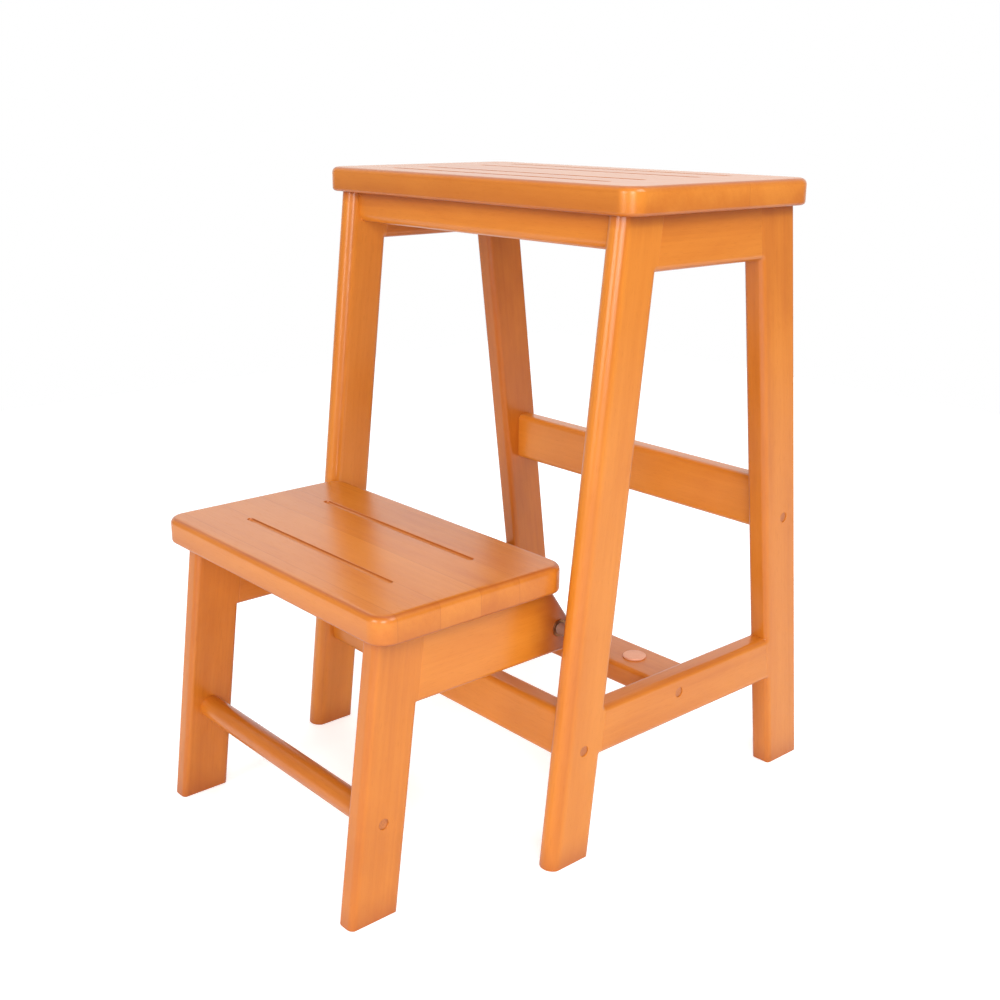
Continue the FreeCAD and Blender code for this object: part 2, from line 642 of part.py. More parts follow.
def make_step_rail(label, side):
    """A rail of the step: it carries the tread, and its slanted tail holds the pivot bushing."""
    body = new_body(label)
    sketch = new_sketch(body, "X", span(side, "places.step_inner_x", "sizes.step_stock"))
    bottom = "places.step_rail_bottom"
    top = "places.tread_under"
    draw_outline(sketch, [(f"{step_edge(bottom)} + sizes.step_leg_width", bottom),
                          ("places.pivot_y + sizes.tail_reach", bottom),
                          ("places.tread_back + sizes.tail_start", top),
                          (f"{step_edge(top)} + sizes.step_leg_width", top)])
    pad(body, sketch, "X", "sizes.step_stock")
    drill_step_joint(body, side)
    drill(body, "X", span(side, "places.step_inner_x", "sizes.step_stock"), "sizes.step_stock",
          [pivot_spot], bushing_hole)
    drill_board_screws(body, "places.tread_under", "places.tread_under - places.step_rail_bottom",
                       tread_screw_spots((side,)))


def make_rung():
    """The round rung between the step legs."""
    body = new_body("step_rung")
    half = "(places.step_inner_x + sizes.rung_socket)"
    sketch = new_sketch(body, "X", f"-{half}")
    draw_circle(sketch, *rung_spot, "sizes.rung_diameter")
    pad(body, sketch, "X", f"2 * {half}")
    bite = "(sizes.rung_screw_bite + sizes.glue_gap)"
    for side in (-1, 1):
        drill(body, "X", span(side, f"{half} - {bite}", bite), bite, [rung_spot], screw_hole)


# ---- pins, screws and pivots ----

def make_pins(label, axis, spots, steps, sides=(1,)):
    """Stepped round pins at the spots: each step is (start, length, diameter) or has a bore too.

    With both sides given, the starts are on the right and the left pins mirror them.
    """
    body = new_body(label)
    for start, length, diameter, *bore in steps:
        for side in sides:
            sketch = new_sketch(body, axis, span(side, start, length))
            for x, y in spots:
                draw_circle(sketch, x, y, diameter)
                if bore:
                    draw_circle(sketch, x, y, bore[0])
            pad(body, sketch, axis, length)
    return body


def make_rail_dowels(label, stations):
    """Front-to-back dowels: two in each rail joint of both side frames."""
    body = new_body(label)
    for joint, middle_x, middle_z in stations:
        sketch = new_sketch(body, "Y", f"{joint} - sizes.dowel_length / 2")
        for side in (-1, 1):
            for x, z in dowel_pair(middle_x(side), middle_z):
                draw_circle(sketch, x, z, "sizes.dowel_diameter")
        pad(body, sketch, "Y", "sizes.dowel_length")


def screw_steps(head_start, head_height, total):
    """A pan-head screw whose head is at the outer end."""
    return [(head_start, head_height, "sizes.screw_head_diameter"),
            (f"({head_start} - ({total}))", total, "sizes.screw_diameter")]


def make_fasteners():
    """Dowels, screws and plugs, each kind a group of separate solids."""
    both = (-1, 1)
    stations = [(joints[rail], frame_middle_x, rail_middles[rail])
                for joints in (front_joint, rear_joint) for rail in rail_middles]
    make_rail_dowels("rail_dowels", stations)
    make_rail_dowels("step_dowels", [(step_joint, step_middle_x, step_rail_middle)])
    cross_spots = list(stretcher_dowels.values()) + list(apron_dowels.values())
    cross_start = "(places.inner_x + sizes.dowel_in_leg - sizes.dowel_length)"
    make_pins("cross_dowels", "X", cross_spots,
              [(cross_start, "sizes.dowel_length", "sizes.dowel_diameter")], both)
    seat = "(places.outer_x - sizes.counterbore_depth)"
    shank = "(sizes.frame_stock - sizes.counterbore_depth + sizes.stretcher_screw_bite)"
    make_pins("stretcher_screws", "X", list(stretcher_screws.values()),
              screw_steps(seat, "sizes.screw_head_height", shank), both)
    plug = "(sizes.counterbore_depth - sizes.screw_head_height - sizes.plug_recess)"
    make_pins("frame_plugs", "X", list(stretcher_screws.values()),
              [(f"({seat} + sizes.screw_head_height)", plug, "sizes.counterbore_diameter")], both)
    make_board_screws("top_board_screws", "sizes.leg_height", top_screw_spots())
    make_rung_screws(both)
    make_board_screws("tread_screws", "places.tread_under", tread_screw_spots(both))


def make_rung_screws(both):
    """The screws through the step legs into the rung, and the plugs over them."""
    seat = "(places.step_outer_x - sizes.step_counterbore)"
    shank = "(sizes.step_stock - sizes.step_counterbore - sizes.rung_socket + sizes.rung_screw_bite)"
    make_pins("rung_screws", "X", [rung_spot], screw_steps(seat, "sizes.screw_head_height", shank), both)
    plug = "(sizes.step_counterbore - sizes.screw_head_height - sizes.plug_recess)"
    make_pins("step_plugs", "X", [rung_spot],
              [(f"({seat} + sizes.screw_head_height)", plug, "sizes.counterbore_diameter")], both)


def make_board_screws(label, underside, spots):
    """Upright screws that pull a board down onto what carries it."""
    body = new_body(label)
    head = f"{underside} - sizes.board_screw_seat - sizes.screw_head_height"
    for start, length, diameter in (
            (head, "sizes.screw_head_height", "sizes.screw_head_diameter"),
            (f"{underside} - sizes.board_screw_seat", "sizes.board_screw_seat + sizes.board_screw_bite",
             "sizes.screw_diameter")):
        sketch = new_sketch(body, "Z", start)
        for x, y in spots:
            draw_circle(sketch, x, y, diameter)
        pad(body, sketch, "Z", length)


def make_pivots():
    """The two pivots: shoulder bolt, insert, spacer sleeve, washer and bushing on each side."""
    both = (-1, 1)
    bore = "(sizes.pivot_diameter + 2 * sizes.running_fit)"
    thread_bore = "(sizes.thread_diameter + 2 * sizes.glue_gap)"
    washer = "(places.step_inner_x - sizes.side_play - sizes.washer_thickness)"
    head = f"({washer} - sizes.bolt_head_height)"
    shoulder = f"(places.inner_x - {washer})"
    bolts = make_pins("pivot_bolts", "X", [pivot_spot], [
        (head, "sizes.bolt_head_height", "sizes.bolt_head_diameter"),
        (washer, shoulder, "sizes.pivot_diameter"),
        ("places.inner_x", "sizes.thread_length", "sizes.thread_diameter")], both)
    for side in both:
        cut_key_socket(bolts, side, head)
    make_pins("pivot_inserts", "X", [pivot_spot],
              [("places.inner_x", "sizes.insert_length", "sizes.insert_diameter", thread_bore)], both)
    sleeve_start = "(places.step_outer_x + sizes.flange_thickness + sizes.side_play)"
    make_pins("pivot_spacers", "X", [pivot_spot],
              [(sleeve_start, f"(places.inner_x - {sleeve_start})",
                f"({bore} + 2 * sizes.sleeve_wall)", bore)], both)
    make_pins("pivot_washers", "X", [pivot_spot],
              [(washer, "sizes.washer_thickness", "sizes.washer_diameter", bore)], both)
    make_pins("pivot_bushings", "X", [pivot_spot], [
        ("places.step_inner_x", "sizes.step_stock", bushing_diameter, bore),
        ("places.step_outer_x", "sizes.flange_thickness", "sizes.flange_diameter", bore)], both)


def cut_key_socket(body, side, head):
    """The hexagon socket in a pivot bolt's head, two thirds of the head deep."""
    deep = "(sizes.bolt_head_height * 2 / 3)"
    sketch = new_sketch(body, "X", span(side, head, deep))
    corners = []
    for i in range(6):
        angle = f"{60 * i} deg"
        corners.append((f"places.pivot_y + sizes.bolt_key / sqrt(3) * cos({angle})",
                        f"places.pivot_z + sizes.bolt_key / sqrt(3) * sin({angle})"))
    draw_outline(sketch, corners)
    cut(body, sketch, "X", deep)


def make_rest_pads():
    """The two round pads that the folded tread comes down on."""
    body = new_body("rest_pads")
    sketch = new_sketch(body, "Z", "places.pad_top - sizes.pad_thickness")
    for sign in ("-", ""):
        draw_circle(sketch, f"{sign}sizes.pad_spacing / 2", pad_stretcher_y, "sizes.pad_diameter")
    pad(body, sketch, "Z", "sizes.pad_thickness")


# ---- build, check and write ----

def build_all():
    """Every sub-part, in the order the ladder is put together."""
    make_top_board()
    for name, side in (("left", -1), ("right", 1)):
        make_main_leg(f"{name}_front_leg", side, "front")
        make_main_leg(f"{name}_rear_leg", side, "rear")
        make_side_rail(f"{name}_top_rail", side, "top")
        make_side_rail(f"{name}_lower_rail", side, "lower")
        make_step_leg(f"{name}_step_leg", side)
        make_step_rail(f"{name}_step_rail", side)
    make_apron("front_apron", "front")
    make_apron("rear_apron", "rear")
    make_stretcher("front_stretcher", "front", front_stretcher_front, "sizes.front_stretcher_bottom",
                   "sizes.frame_stock", "sizes.front_stretcher_height")
    make_stretcher("rear_stretcher", "rear", f"{rear_stretcher_back} - sizes.frame_stock",
                   "sizes.rear_stretcher_bottom", "sizes.frame_stock", "sizes.rear_stretcher_height")
    make_stretcher("pad_stretcher", "pad", f"{pad_stretcher_y} - sizes.pad_stretcher_width / 2",
                   "sizes.pad_stretcher_bottom", "sizes.pad_stretcher_width",
                   "sizes.pad_stretcher_thickness")
    make_rest_pads()
    make_tread()
    make_rung()
    make_fasteners()
    make_pivots()


def check_and_export():
    """Stop on any failed object, then write one file for each sub-part."""
    doc.recompute()
    for item in doc.Objects:
        if "Invalid" in item.State or "Error" in item.State:
            raise RuntimeError(f"{item.Label} failed: {item.State}")
    bodies = [item for item in doc.Objects if item.TypeId == "PartDesign::Body"]
    for body in bodies:
        if body.Shape.isNull() or not body.Shape.isValid():
            raise RuntimeError(f"{body.Label} has no valid shape")
    for body in bodies:
        body.Shape.exportStep(f"parts/{body.Label}.step")
        print(body.Label, len(body.Shape.Solids), "solids", round(body.Shape.Volume), "mm3")


build_all()
check_and_export()
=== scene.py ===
import math

import bmesh
import bpy
import numpy as np
from mathutils import Matrix, Vector


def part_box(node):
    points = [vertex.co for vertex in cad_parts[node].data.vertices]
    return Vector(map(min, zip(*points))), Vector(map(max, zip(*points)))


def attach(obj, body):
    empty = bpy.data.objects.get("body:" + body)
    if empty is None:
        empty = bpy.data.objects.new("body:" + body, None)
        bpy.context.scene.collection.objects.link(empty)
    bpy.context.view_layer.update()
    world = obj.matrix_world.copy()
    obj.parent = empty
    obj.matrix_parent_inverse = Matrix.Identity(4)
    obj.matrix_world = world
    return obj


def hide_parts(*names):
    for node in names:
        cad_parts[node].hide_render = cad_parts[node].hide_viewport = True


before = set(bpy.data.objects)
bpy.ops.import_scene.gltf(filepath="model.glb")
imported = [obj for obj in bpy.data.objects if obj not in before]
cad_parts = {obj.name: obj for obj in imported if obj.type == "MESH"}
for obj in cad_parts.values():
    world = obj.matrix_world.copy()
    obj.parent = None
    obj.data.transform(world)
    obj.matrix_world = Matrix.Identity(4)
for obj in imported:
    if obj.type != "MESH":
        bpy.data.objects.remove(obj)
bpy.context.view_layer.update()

# Folding step ladder, metres. Every place comes from the frame's own boxes, and what a user would change is
# in the dictionary beside each piece. In side views p is the depth (y) and q the height (z); x is the width.

millimetre = 0.001
np.random.seed(7)


def boxOf(node):
    # lowest and highest corner of a frame node, as arrays
    low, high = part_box(node)
    return np.array(low), np.array(high)


# camera

cameraLens = {
    "spot": (0.766779, -0.654090, 0.549401),
    "turn": 48.678,
    "tilt": -17.071,
    "lean": 0.359,
    "focal": 46.113,
    "sensor": 36.0,
}


def makeCamera():
    # turned about the upright, tipped, then leaned about its own line of sight
    data = bpy.data.cameras.new("camera")
    data.lens = cameraLens["focal"]
    data.sensor_width = cameraLens["sensor"]
    data.clip_start = 0.05
    data.clip_end = 60
    data.dof.use_dof = False
    camera = bpy.data.objects.new("camera", data)
    bpy.context.scene.collection.objects.link(camera)
    turned = Matrix.Rotation(math.radians(cameraLens["turn"]), 4, "Z")
    tipped = Matrix.Rotation(math.radians(90 + cameraLens["tilt"]), 4, "X")
    leaned = Matrix.Rotation(math.radians(cameraLens["lean"]), 4, "Z")
    camera.matrix_world = Matrix.Translation(cameraLens["spot"]) @ turned @ tipped @ leaned
    bpy.context.scene.camera = camera


makeCamera()
print("camera placed")


# materials

class Wire:
    # one output socket that can stand in a sum
    def __init__(self, finish, socket):
        self.finish = finish
        self.socket = socket

    def maths(self, operation, first, second=None):
        values = {0: first} if second is None else {0: first, 1: second}
        return self.finish.node("Math", {"operation": operation}, values)

    def __add__(self, other): return self.maths("ADD", self, other)
    def __radd__(self, other): return self.maths("ADD", other, self)
    def __sub__(self, other): return self.maths("SUBTRACT", self, other)
    def __rsub__(self, other): return self.maths("SUBTRACT", other, self)
    def __mul__(self, other): return self.maths("MULTIPLY", self, other)
    def __truediv__(self, other): return self.maths("DIVIDE", self, other)
    def floor(self): return self.maths("FLOOR", self)
    def fraction(self): return self.maths("FRACT", self)
    def wave(self): return self.maths("SINE", self)
    def size(self): return self.maths("ABSOLUTE", self)


class Finish:
    # a material under construction
    def __init__(self, name, material=None):
        self.material = material or bpy.data.materials.new(name)
        self.material.use_nodes = True
        self.tree = self.material.node_tree
        self.tree.nodes.clear()

    def node(self, kind, settings=None, values=None, output=0):
        made = self.tree.nodes.new("ShaderNode" + kind)
        for key, value in (settings or {}).items():
            if key == "stops":
                ramp = made.color_ramp
                for i, (place, colour) in enumerate(value):
                    stop = ramp.elements[i] if i < 2 else ramp.elements.new(place)
                    stop.position = place
                    stop.color = (*colour, 1)
            else:
                setattr(made, key, value)
        for key, value in (values or {}).items():
            if isinstance(value, Wire):
                self.tree.links.new(value.socket, made.inputs[key])
            else:
                made.inputs[key].default_value = value
        return Wire(self, made.outputs[output]) if len(made.outputs) else None

    def attribute(self, name, vector=False):
        # a value, or three, that the mesh carries at each point
        return self.node("Attribute", {"attribute_name": name}, output=1 if vector else 2)

    def place(self):
        # the point's own place in its piece, or its direction in the air
        return self.node("TexCoord", output=3)

    def vector(self, x, y, z):
        return self.node("CombineXYZ", None, {0: x, 1: y, 2: z})

    def split(self, vector):
        parts = self.node("SeparateXYZ", None, {0: vector}).socket.node.outputs
        return [Wire(self, part) for part in parts]

    def noise(self, vector, scale=1.0, detail=2.0, roughness=0.5, distortion=0.0):
        return self.node("TexNoise", None, {"Vector": vector, "Scale": scale, "Detail": detail,
                                            "Roughness": roughness, "Distortion": distortion})

    def spread(self, value, low, high, toLow=0.0, toHigh=1.0):
        # a value between low and high becomes one between toLow and toHigh, smoothly and held at both ends
        limits = {"From Min": low, "From Max": high, "To Min": toLow, "To Max": toHigh}
        return self.node("MapRange", {"interpolation_type": "SMOOTHSTEP"}, {"Value": value, **limits})

    def mix(self, factor, first, second):
        solid = [c if isinstance(c, Wire) else (*c, 1) for c in (first, second)]
        return self.node("Mix", {"data_type": "RGBA"}, {0: factor, 6: solid[0], 7: solid[1]}, output=2)

    def relief(self, height, strength, depth):
        return self.node("Bump", None, {"Strength": strength, "Distance": depth, "Height": height})

    def surface(self, **values):
        shader = self.node("BsdfPrincipled", None, {k.replace("_", " "): v for k, v in values.items()})
        self.node("OutputMaterial", None, {"Surface": shader})
        return self.material


# Honey-orange stained, close-grained hardwood under a satin-gloss lacquer. "levels" is where on the ramp its
# three colours lie, and "depth" is how much each pattern moves the wood along it.
woodLook = {
    "pale": (0.67, 0.222, 0.022),
    "middle": (0.595, 0.178, 0.0145),
    "deep": (0.45, 0.112, 0.0075),
    "levels": (0.16, 0.50, 0.95),
    "depth": {"broad": 0.62, "blotch": 0.62, "streak": 0.20, "rings": 0.045, "fibre": 0.10, "start": -0.31},
    "pore": (0.30, 0.070, 0.006),
    "poreShare": 0.14,
    "poreLevels": (0.60, 0.70),
    # the deep red-brown of painted shade under the boards, at the feet and behind the pivot, with some stain in
    # the grooves
    "shadeAndStainColour": (0.33, 0.062, 0.0075),
    "shadeAndStainShare": 0.65,
    "shadeAndStainPatch": 0.7,
    "ringSpacing": 0.0065,
    "ringLean": (0.86, 0.5),
    "ringWander": (26.0, 5.0),
    "staveTone": 0.15,
    "staveShift": (3.7, 0.9),
    "seamReach": (0.0006, 0.0001),
    "seamShare": 0.24,
    "lacquerRoughness": 0.27,
    "woodRoughness": 0.42,
    "unevenRoughness": (0.12, 0.08),
    "relief": {"fibre": 0.3, "streak": 0.4, "pores": 0.5, "seam": 0.3, "strength": 0.16, "depth": 0.00012},
    "bareGloss": 0.04,
    "coat": 1.0,
    "poreCoat": 0.2,
    "coatIndex": 1.5,
}
# each pattern's repeats in a metre, across the grain and along it, and its noise
woodPatterns = {
    "broad": {"across": 42, "along": 2.6, "detail": 2.5},
    "ripple": {"across": 110, "along": 7.0, "detail": 2.0},
    "streak": {"across": 420, "along": 9.0, "detail": 3.0, "roughness": 0.6},
    "fibre": {"across": 1900, "along": 46, "detail": 2.0, "roughness": 0.6},
    "pores": {"across": 1500, "along": 120, "detail": 1.0},
    "blotch": {"across": 24, "along": 9, "detail": 3.0, "roughness": 0.55, "distortion": 0.6},
}


def makeWood(name, staveWidth=None, staveStart=0.0):
    # the grain attribute holds a point's place across its board, through it and along it, in metres
    w = Finish(name)
    across, through, along = w.split(w.attribute("grain", vector=True))
    tone = w.attribute("tone")
    if staveWidth:
        # glued staves: each takes its own piece of the grain and its own tone, with a fine seam between them
        place = (across - staveStart) / staveWidth
        chance = w.node("TexWhiteNoise", {"noise_dimensions": "1D"}, {"W": place.floor()})
        alongShift, throughShift = woodLook["staveShift"]
        along = along + chance * alongShift
        through = through + chance * throughShift
        tone = (chance - 0.5) * woodLook["staveTone"] + tone
        nearEdge = (place.fraction() - 0.5).size()
        seamStart, seamFull = [0.5 - reach / staveWidth for reach in woodLook["seamReach"]]
        seam = w.spread(nearEdge, seamStart, seamFull)

    def pattern(kind):
        # a noise drawn out along the grain
        look = woodPatterns[kind]
        stretched = w.vector(across * look["across"], through * look["across"], along * look["along"])
        return w.noise(stretched, detail=look["detail"], roughness=look.get("roughness", 0.5),
                       distortion=look.get("distortion", 0.0))

    broad, ripple, streak = pattern("broad"), pattern("ripple"), pattern("streak")
    fibre, blotch = pattern("fibre"), pattern("blotch")
    pores = w.spread(pattern("pores"), *woodLook["poreLevels"])
    # growth rings are a sine wave on a plane that leans through the board, shaken by the two coarse patterns
    leanAcross, leanThrough = woodLook["ringLean"]
    wanderBroad, wanderRipple = woodLook["ringWander"]
    plane = (across * leanAcross + through * leanThrough) * (2 * math.pi / woodLook["ringSpacing"])
    rings = (plane + broad * wanderBroad + ripple * wanderRipple).wave() * 0.5 + 0.5
    share = woodLook["depth"]
    depth = (broad * share["broad"] + blotch * share["blotch"] + streak * share["streak"]
             + rings * share["rings"] + fibre * share["fibre"] + share["start"] + tone)
    stops = list(zip(woodLook["levels"], (woodLook["pale"], woodLook["middle"], woodLook["deep"])))
    colour = w.node("ValToRGB", {"stops": stops}, {0: depth})
    colour = w.mix(pores * woodLook["poreShare"], colour, woodLook["pore"])
    patchy = blotch * woodLook["shadeAndStainPatch"] + woodLook["shadeAndStainShare"]
    # painted shade, with some stain, laid where the piece's attribute says and made patchy by the blotches
    colour = w.mix(w.attribute("shadeAndStain") * patchy, colour, woodLook["shadeAndStainColour"])
    relief = woodLook["relief"]
    height = fibre * relief["fibre"] + streak * relief["streak"] - pores * relief["pores"]
    if staveWidth:
        colour = w.mix(seam * woodLook["seamShare"], colour, woodLook["pore"])
        height = height - seam * relief["seam"]
    rippleRough, poreRough = woodLook["unevenRoughness"]
    return w.surface(Base_Color=colour,
                     Roughness=woodLook["woodRoughness"] + (ripple - 0.5) * rippleRough + pores * poreRough,
                     Normal=w.relief(height, relief["strength"], relief["depth"]),
                     Coat_Weight=woodLook["coat"] - pores * woodLook["poreCoat"],
                     Coat_Roughness=woodLook["lacquerRoughness"],
                     Coat_IOR=woodLook["coatIndex"],
                     Specular_IOR_Level=woodLook["bareGloss"])


metalLook = {"ringRepeats": 60, "spotRepeats": 900, "spotLevels": (0.4, 0.75), "spotRoughness": 0.2,
             "spotRelief": 0.4, "strength": 0.2, "depth": 0.00004}
plainLook = {"cloudRepeats": 70, "cloudShare": 0.6, "speckShare": 0.4, "levels": (0.35, 0.7),
             "speckRoughness": 0.15, "strength": 0.25, "depth": 0.0001}
dowelLook = {"repeats": (60, 1400, 1400), "cloudRepeats": 160, "fibreShare": 0.6, "cloudShare": 0.4,
             "levels": (0.3, 0.7), "roughness": 0.42, "fibreRoughness": 0.2, "coatRoughness": 0.2,
             "strength": 0.3, "depth": 0.00015}


def makeMetal(name, colour, dark, roughness, turnRepeats):
    # turned or plated metal: fine rings of polish about the ladder's width, and small dull spots
    m = Finish(name)
    spot = m.place()
    x, y, z = m.split(spot)
    around = metalLook["ringRepeats"]
    lines = m.noise(m.vector(x * turnRepeats, y * around, z * around), detail=2.0)
    dull = m.noise(spot, scale=metalLook["spotRepeats"], detail=3.0)
    tint = m.mix(m.spread(dull, *metalLook["spotLevels"]), colour, dark)
    ridge = m.relief(lines + dull * metalLook["spotRelief"], metalLook["strength"], metalLook["depth"])
    return m.surface(Base_Color=tint, Metallic=1.0, Normal=ridge,
                     Roughness=roughness + (dull - 0.5) * metalLook["spotRoughness"])


def makePlain(name, colour, dark, roughness, speckRepeats):
    # moulded material with a fine speck and a faint cloud of tone
    m = Finish(name)
    spot = m.place()
    cloud = m.noise(spot, scale=plainLook["cloudRepeats"], detail=3.0)
    speck = m.noise(spot, scale=speckRepeats, detail=2.0)
    blend = cloud * plainLook["cloudShare"] + speck * plainLook["speckShare"]
    tint = m.mix(m.spread(blend, *plainLook["levels"]), colour, dark)
    return m.surface(Base_Color=tint, Normal=m.relief(speck, plainLook["strength"], plainLook["depth"]),
                     Roughness=roughness + (speck - 0.5) * plainLook["speckRoughness"])


def makeDowelWood(name, colour, dark, coat, turn):
    # short round wood whose grain runs along the ladder's width, turned for uprights by the Mapping node
    m = Finish(name)
    spot = m.place()
    laid = m.node("Mapping", None, {"Vector": spot, "Rotation": turn, "Scale": dowelLook["repeats"]})
    fibre = m.noise(laid, detail=3.0)
    cloud = m.noise(spot, scale=dowelLook["cloudRepeats"], detail=2.0)
    blend = fibre * dowelLook["fibreShare"] + cloud * dowelLook["cloudShare"]
    tint = m.mix(m.spread(blend, *dowelLook["levels"]), colour, dark)
    return m.surface(Base_Color=tint, Normal=m.relief(fibre, dowelLook["strength"], dowelLook["depth"]),
                     Roughness=dowelLook["roughness"] + (fibre - 0.5) * dowelLook["fibreRoughness"],
                     Coat_Weight=coat, Coat_Roughness=dowelLook["coatRoughness"])


legWood = makeWood("legWood")
topWood = makeWood("topWood", staveWidth=0.122, staveStart=-0.0995)
treadWood = makeWood("treadWood", staveWidth=0.0355, staveStart=-0.0694)
print("wood mixed")


# mesh tools

# how finely shapes are divided: lines over a round, segments around a turned piece
division = {"round": 6, "nose": 8, "foot": 4, "crossRound": 7, "recess": 48, "rung": 96, "pad": 64}


def roundSteps(radius, steps):
    # distances from an edge that step its round evenly by angle: radius * (1 - cos(angle))
    return radius * (1 - np.cos(np.linspace(0, math.pi / 2, steps + 1)))


def gridLines(stops, spacing):
    # the stops in order, with evenly spread lines added where two are further apart than the spacing
    stops = np.unique(np.round(np.concatenate([np.atleast_1d(s) for s in stops]), 7))
    gaps = [np.linspace(a, b, max(1, math.ceil((b - a) / spacing)), endpoint=False)
            for a, b in zip(stops[:-1], stops[1:])]
    return np.concatenate(gaps + [stops[-1:]])


def edgeDrop(distance, radius):
    # how far a face falls back beside a rounded edge: a quarter circle, the whole radius at the edge
    if radius == 0:
        return np.zeros(np.shape(distance))
    inward = radius - np.clip(distance, 0, radius)
    return radius - np.sqrt(np.maximum(radius ** 2 - inward ** 2, 0))


def awayFrom(edges, p, q):
    # distance from each point to the nearest straight edge, whose ends hold the point's foot on it
    best = np.full(np.shape(p), np.inf)
    for (p0, q0), (p1, q1) in edges:
        run, rise = p1 - p0, q1 - q0
        share = np.clip(((p - p0) * run + (q - q0) * rise) / (run * run + rise * rise), 0, 1)
        best = np.minimum(best, np.hypot(p - p0 - share * run, q - q0 - share * rise))
    return best


def gridFaces(rows, columns, closed=False):
    # quads between neighbours of a grid of points stored row by row; closed joins the last column to the
    # first
    i = np.arange(rows - 1)[:, None]
    j = np.arange(columns if closed else columns - 1)[None, :]
    k = (j + 1) % columns
    here, above = i * columns, (i + 1) * columns
    return np.stack([here + j, here + k, above + k, above + j], axis=-1).reshape(-1, 4)


def slabMesh(plan, low, high, axes):
    # a closed board: two sheets over one plan grid at the heights low and high, joined by a wall along the
    # rim; axes names where plan's two columns and the height go, such as "yzx"
    rows, columns = low.shape
    count = rows * columns
    sheets = [np.concatenate([plan, h[..., None]], axis=-1).reshape(-1, 3) for h in (low, high)]
    order = [axes.index(letter) for letter in "xyz"]
    points = np.concatenate(sheets)[:, order]
    number = np.arange(count).reshape(rows, columns)
    rim = np.concatenate([number[0, :-1], number[:-1, -1], number[-1, :0:-1], number[:0:-1, 0]])
    following = np.roll(rim, -1)
    walls = np.stack([rim, following, following + count, rim + count], axis=-1)
    faces = gridFaces(rows, columns)
    return points, np.concatenate([faces, faces + count, walls])


def turnedMesh(profile, centre, axis, segments):
    # a profile of (radius, height), which starts and ends at radius 0, turned once about the x or z axis
    # through the centre
    radius, height = np.array(profile, float).T
    angle = np.linspace(0, 2 * math.pi, segments, endpoint=False)
    ring = np.stack([radius[:, None] * np.cos(angle), radius[:, None] * np.sin(angle),
                     np.repeat(height[:, None], segments, axis=1)], axis=-1).reshape(-1, 3)
    order = {"x": (2, 0, 1), "z": (0, 1, 2)}[axis]
    return ring[:, order] + np.array(centre), gridFaces(len(radius), segments, closed=True)


def addObject(name, points, faces):
    # one clean closed mesh: doubled points merged, faces turned outwards
    mesh = bpy.data.meshes.new(name)
    mesh.from_pydata(points.tolist(), [], faces.tolist())
    form = bmesh.new()
    form.from_mesh(mesh)
    bmesh.ops.remove_doubles(form, verts=form.verts, dist=1e-7)
    bmesh.ops.dissolve_degenerate(form, edges=form.edges, dist=1e-8)
    bmesh.ops.recalc_face_normals(form, faces=form.faces)
    form.to_mesh(mesh)
    form.free()
    piece = bpy.data.objects.new(name, mesh)
    bpy.context.scene.collection.objects.link(piece)
    return piece


def cutAway(piece, cutters):
    # the cutters' shapes are taken out of the piece for good
    for points, faces in cutters:
        tool = addObject("tool", points, faces)
        cut = piece.modifiers.new("cut", "BOOLEAN")
        cut.operation = "DIFFERENCE"
        cut.solver = "EXACT"
        cut.object = tool
        graph = bpy.context.evaluated_depsgraph_get()
        carved = bpy.data.meshes.new_from_object(piece.evaluated_get(graph))
        piece.modifiers.clear()
        old = piece.data
        piece.data = carved
        bpy.data.meshes.remove(old)
        bpy.data.objects.remove(tool)


def roundHole(centre, side, radius, depth, lip):
    # a cutter for a round recess in a face that looks along x: straight wall, softly rounded lip
    above = 2 * millimetre
    steps = np.linspace(0, math.pi / 2, 6)
    wall = [(0, -depth), (radius, -depth)]
    flare = [(radius + lip * (1 - math.cos(s)), -lip + lip * math.sin(s)) for s in steps]
    profile = np.array(wall + flare + [(radius + lip, above), (0, above)])
    profile[:, 1] *= side
    return turnedMesh(profile, centre, "x", division["recess"])


shading = {"sharpAngle": 38, "faceWeight": 90}


def finishPiece(piece, body, replaced, material):
    # shading, finish and place in the frame
    mesh = piece.data
    mesh.shade_smooth()
    mesh.set_sharp_from_angle(angle=math.radians(shading["sharpAngle"]))
    even = piece.modifiers.new("even", "WEIGHTED_NORMAL")
    even.keep_sharp = True
    even.weight = shading["faceWeight"]
    mesh.materials.clear()
    mesh.materials.append(material)
    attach(piece, body)
    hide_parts(*replaced)


# how much deeper (+) or paler (-) than the rest a board is coloured, partly by its own tone
# the rest is painted light and shade: deeper on pieces in shade, such as the rung and the left rear leg, paler
# on lit ones such as the top board
boardToneLightAndShade = {
    "top_board": -0.13, "left_top_rail": 0.16, "rear_apron": 0.15,
    "left_front_leg": -0.12, "right_front_leg": -0.06, "left_rear_leg": 0.29, "right_rear_leg": 0.04,
    "front_stretcher": -0.08, "rear_stretcher": -0.12, "pad_stretcher": 0.15,
    "step_rung": 0.30, "left_step_leg": 0.10, "right_step_rail": -0.12,
}


def pointsOf(mesh):
    # the mesh's points, one to a row
    points = np.zeros(len(mesh.vertices) * 3)
    mesh.vertices.foreach_get("co", points)
    return points.reshape(-1, 3)


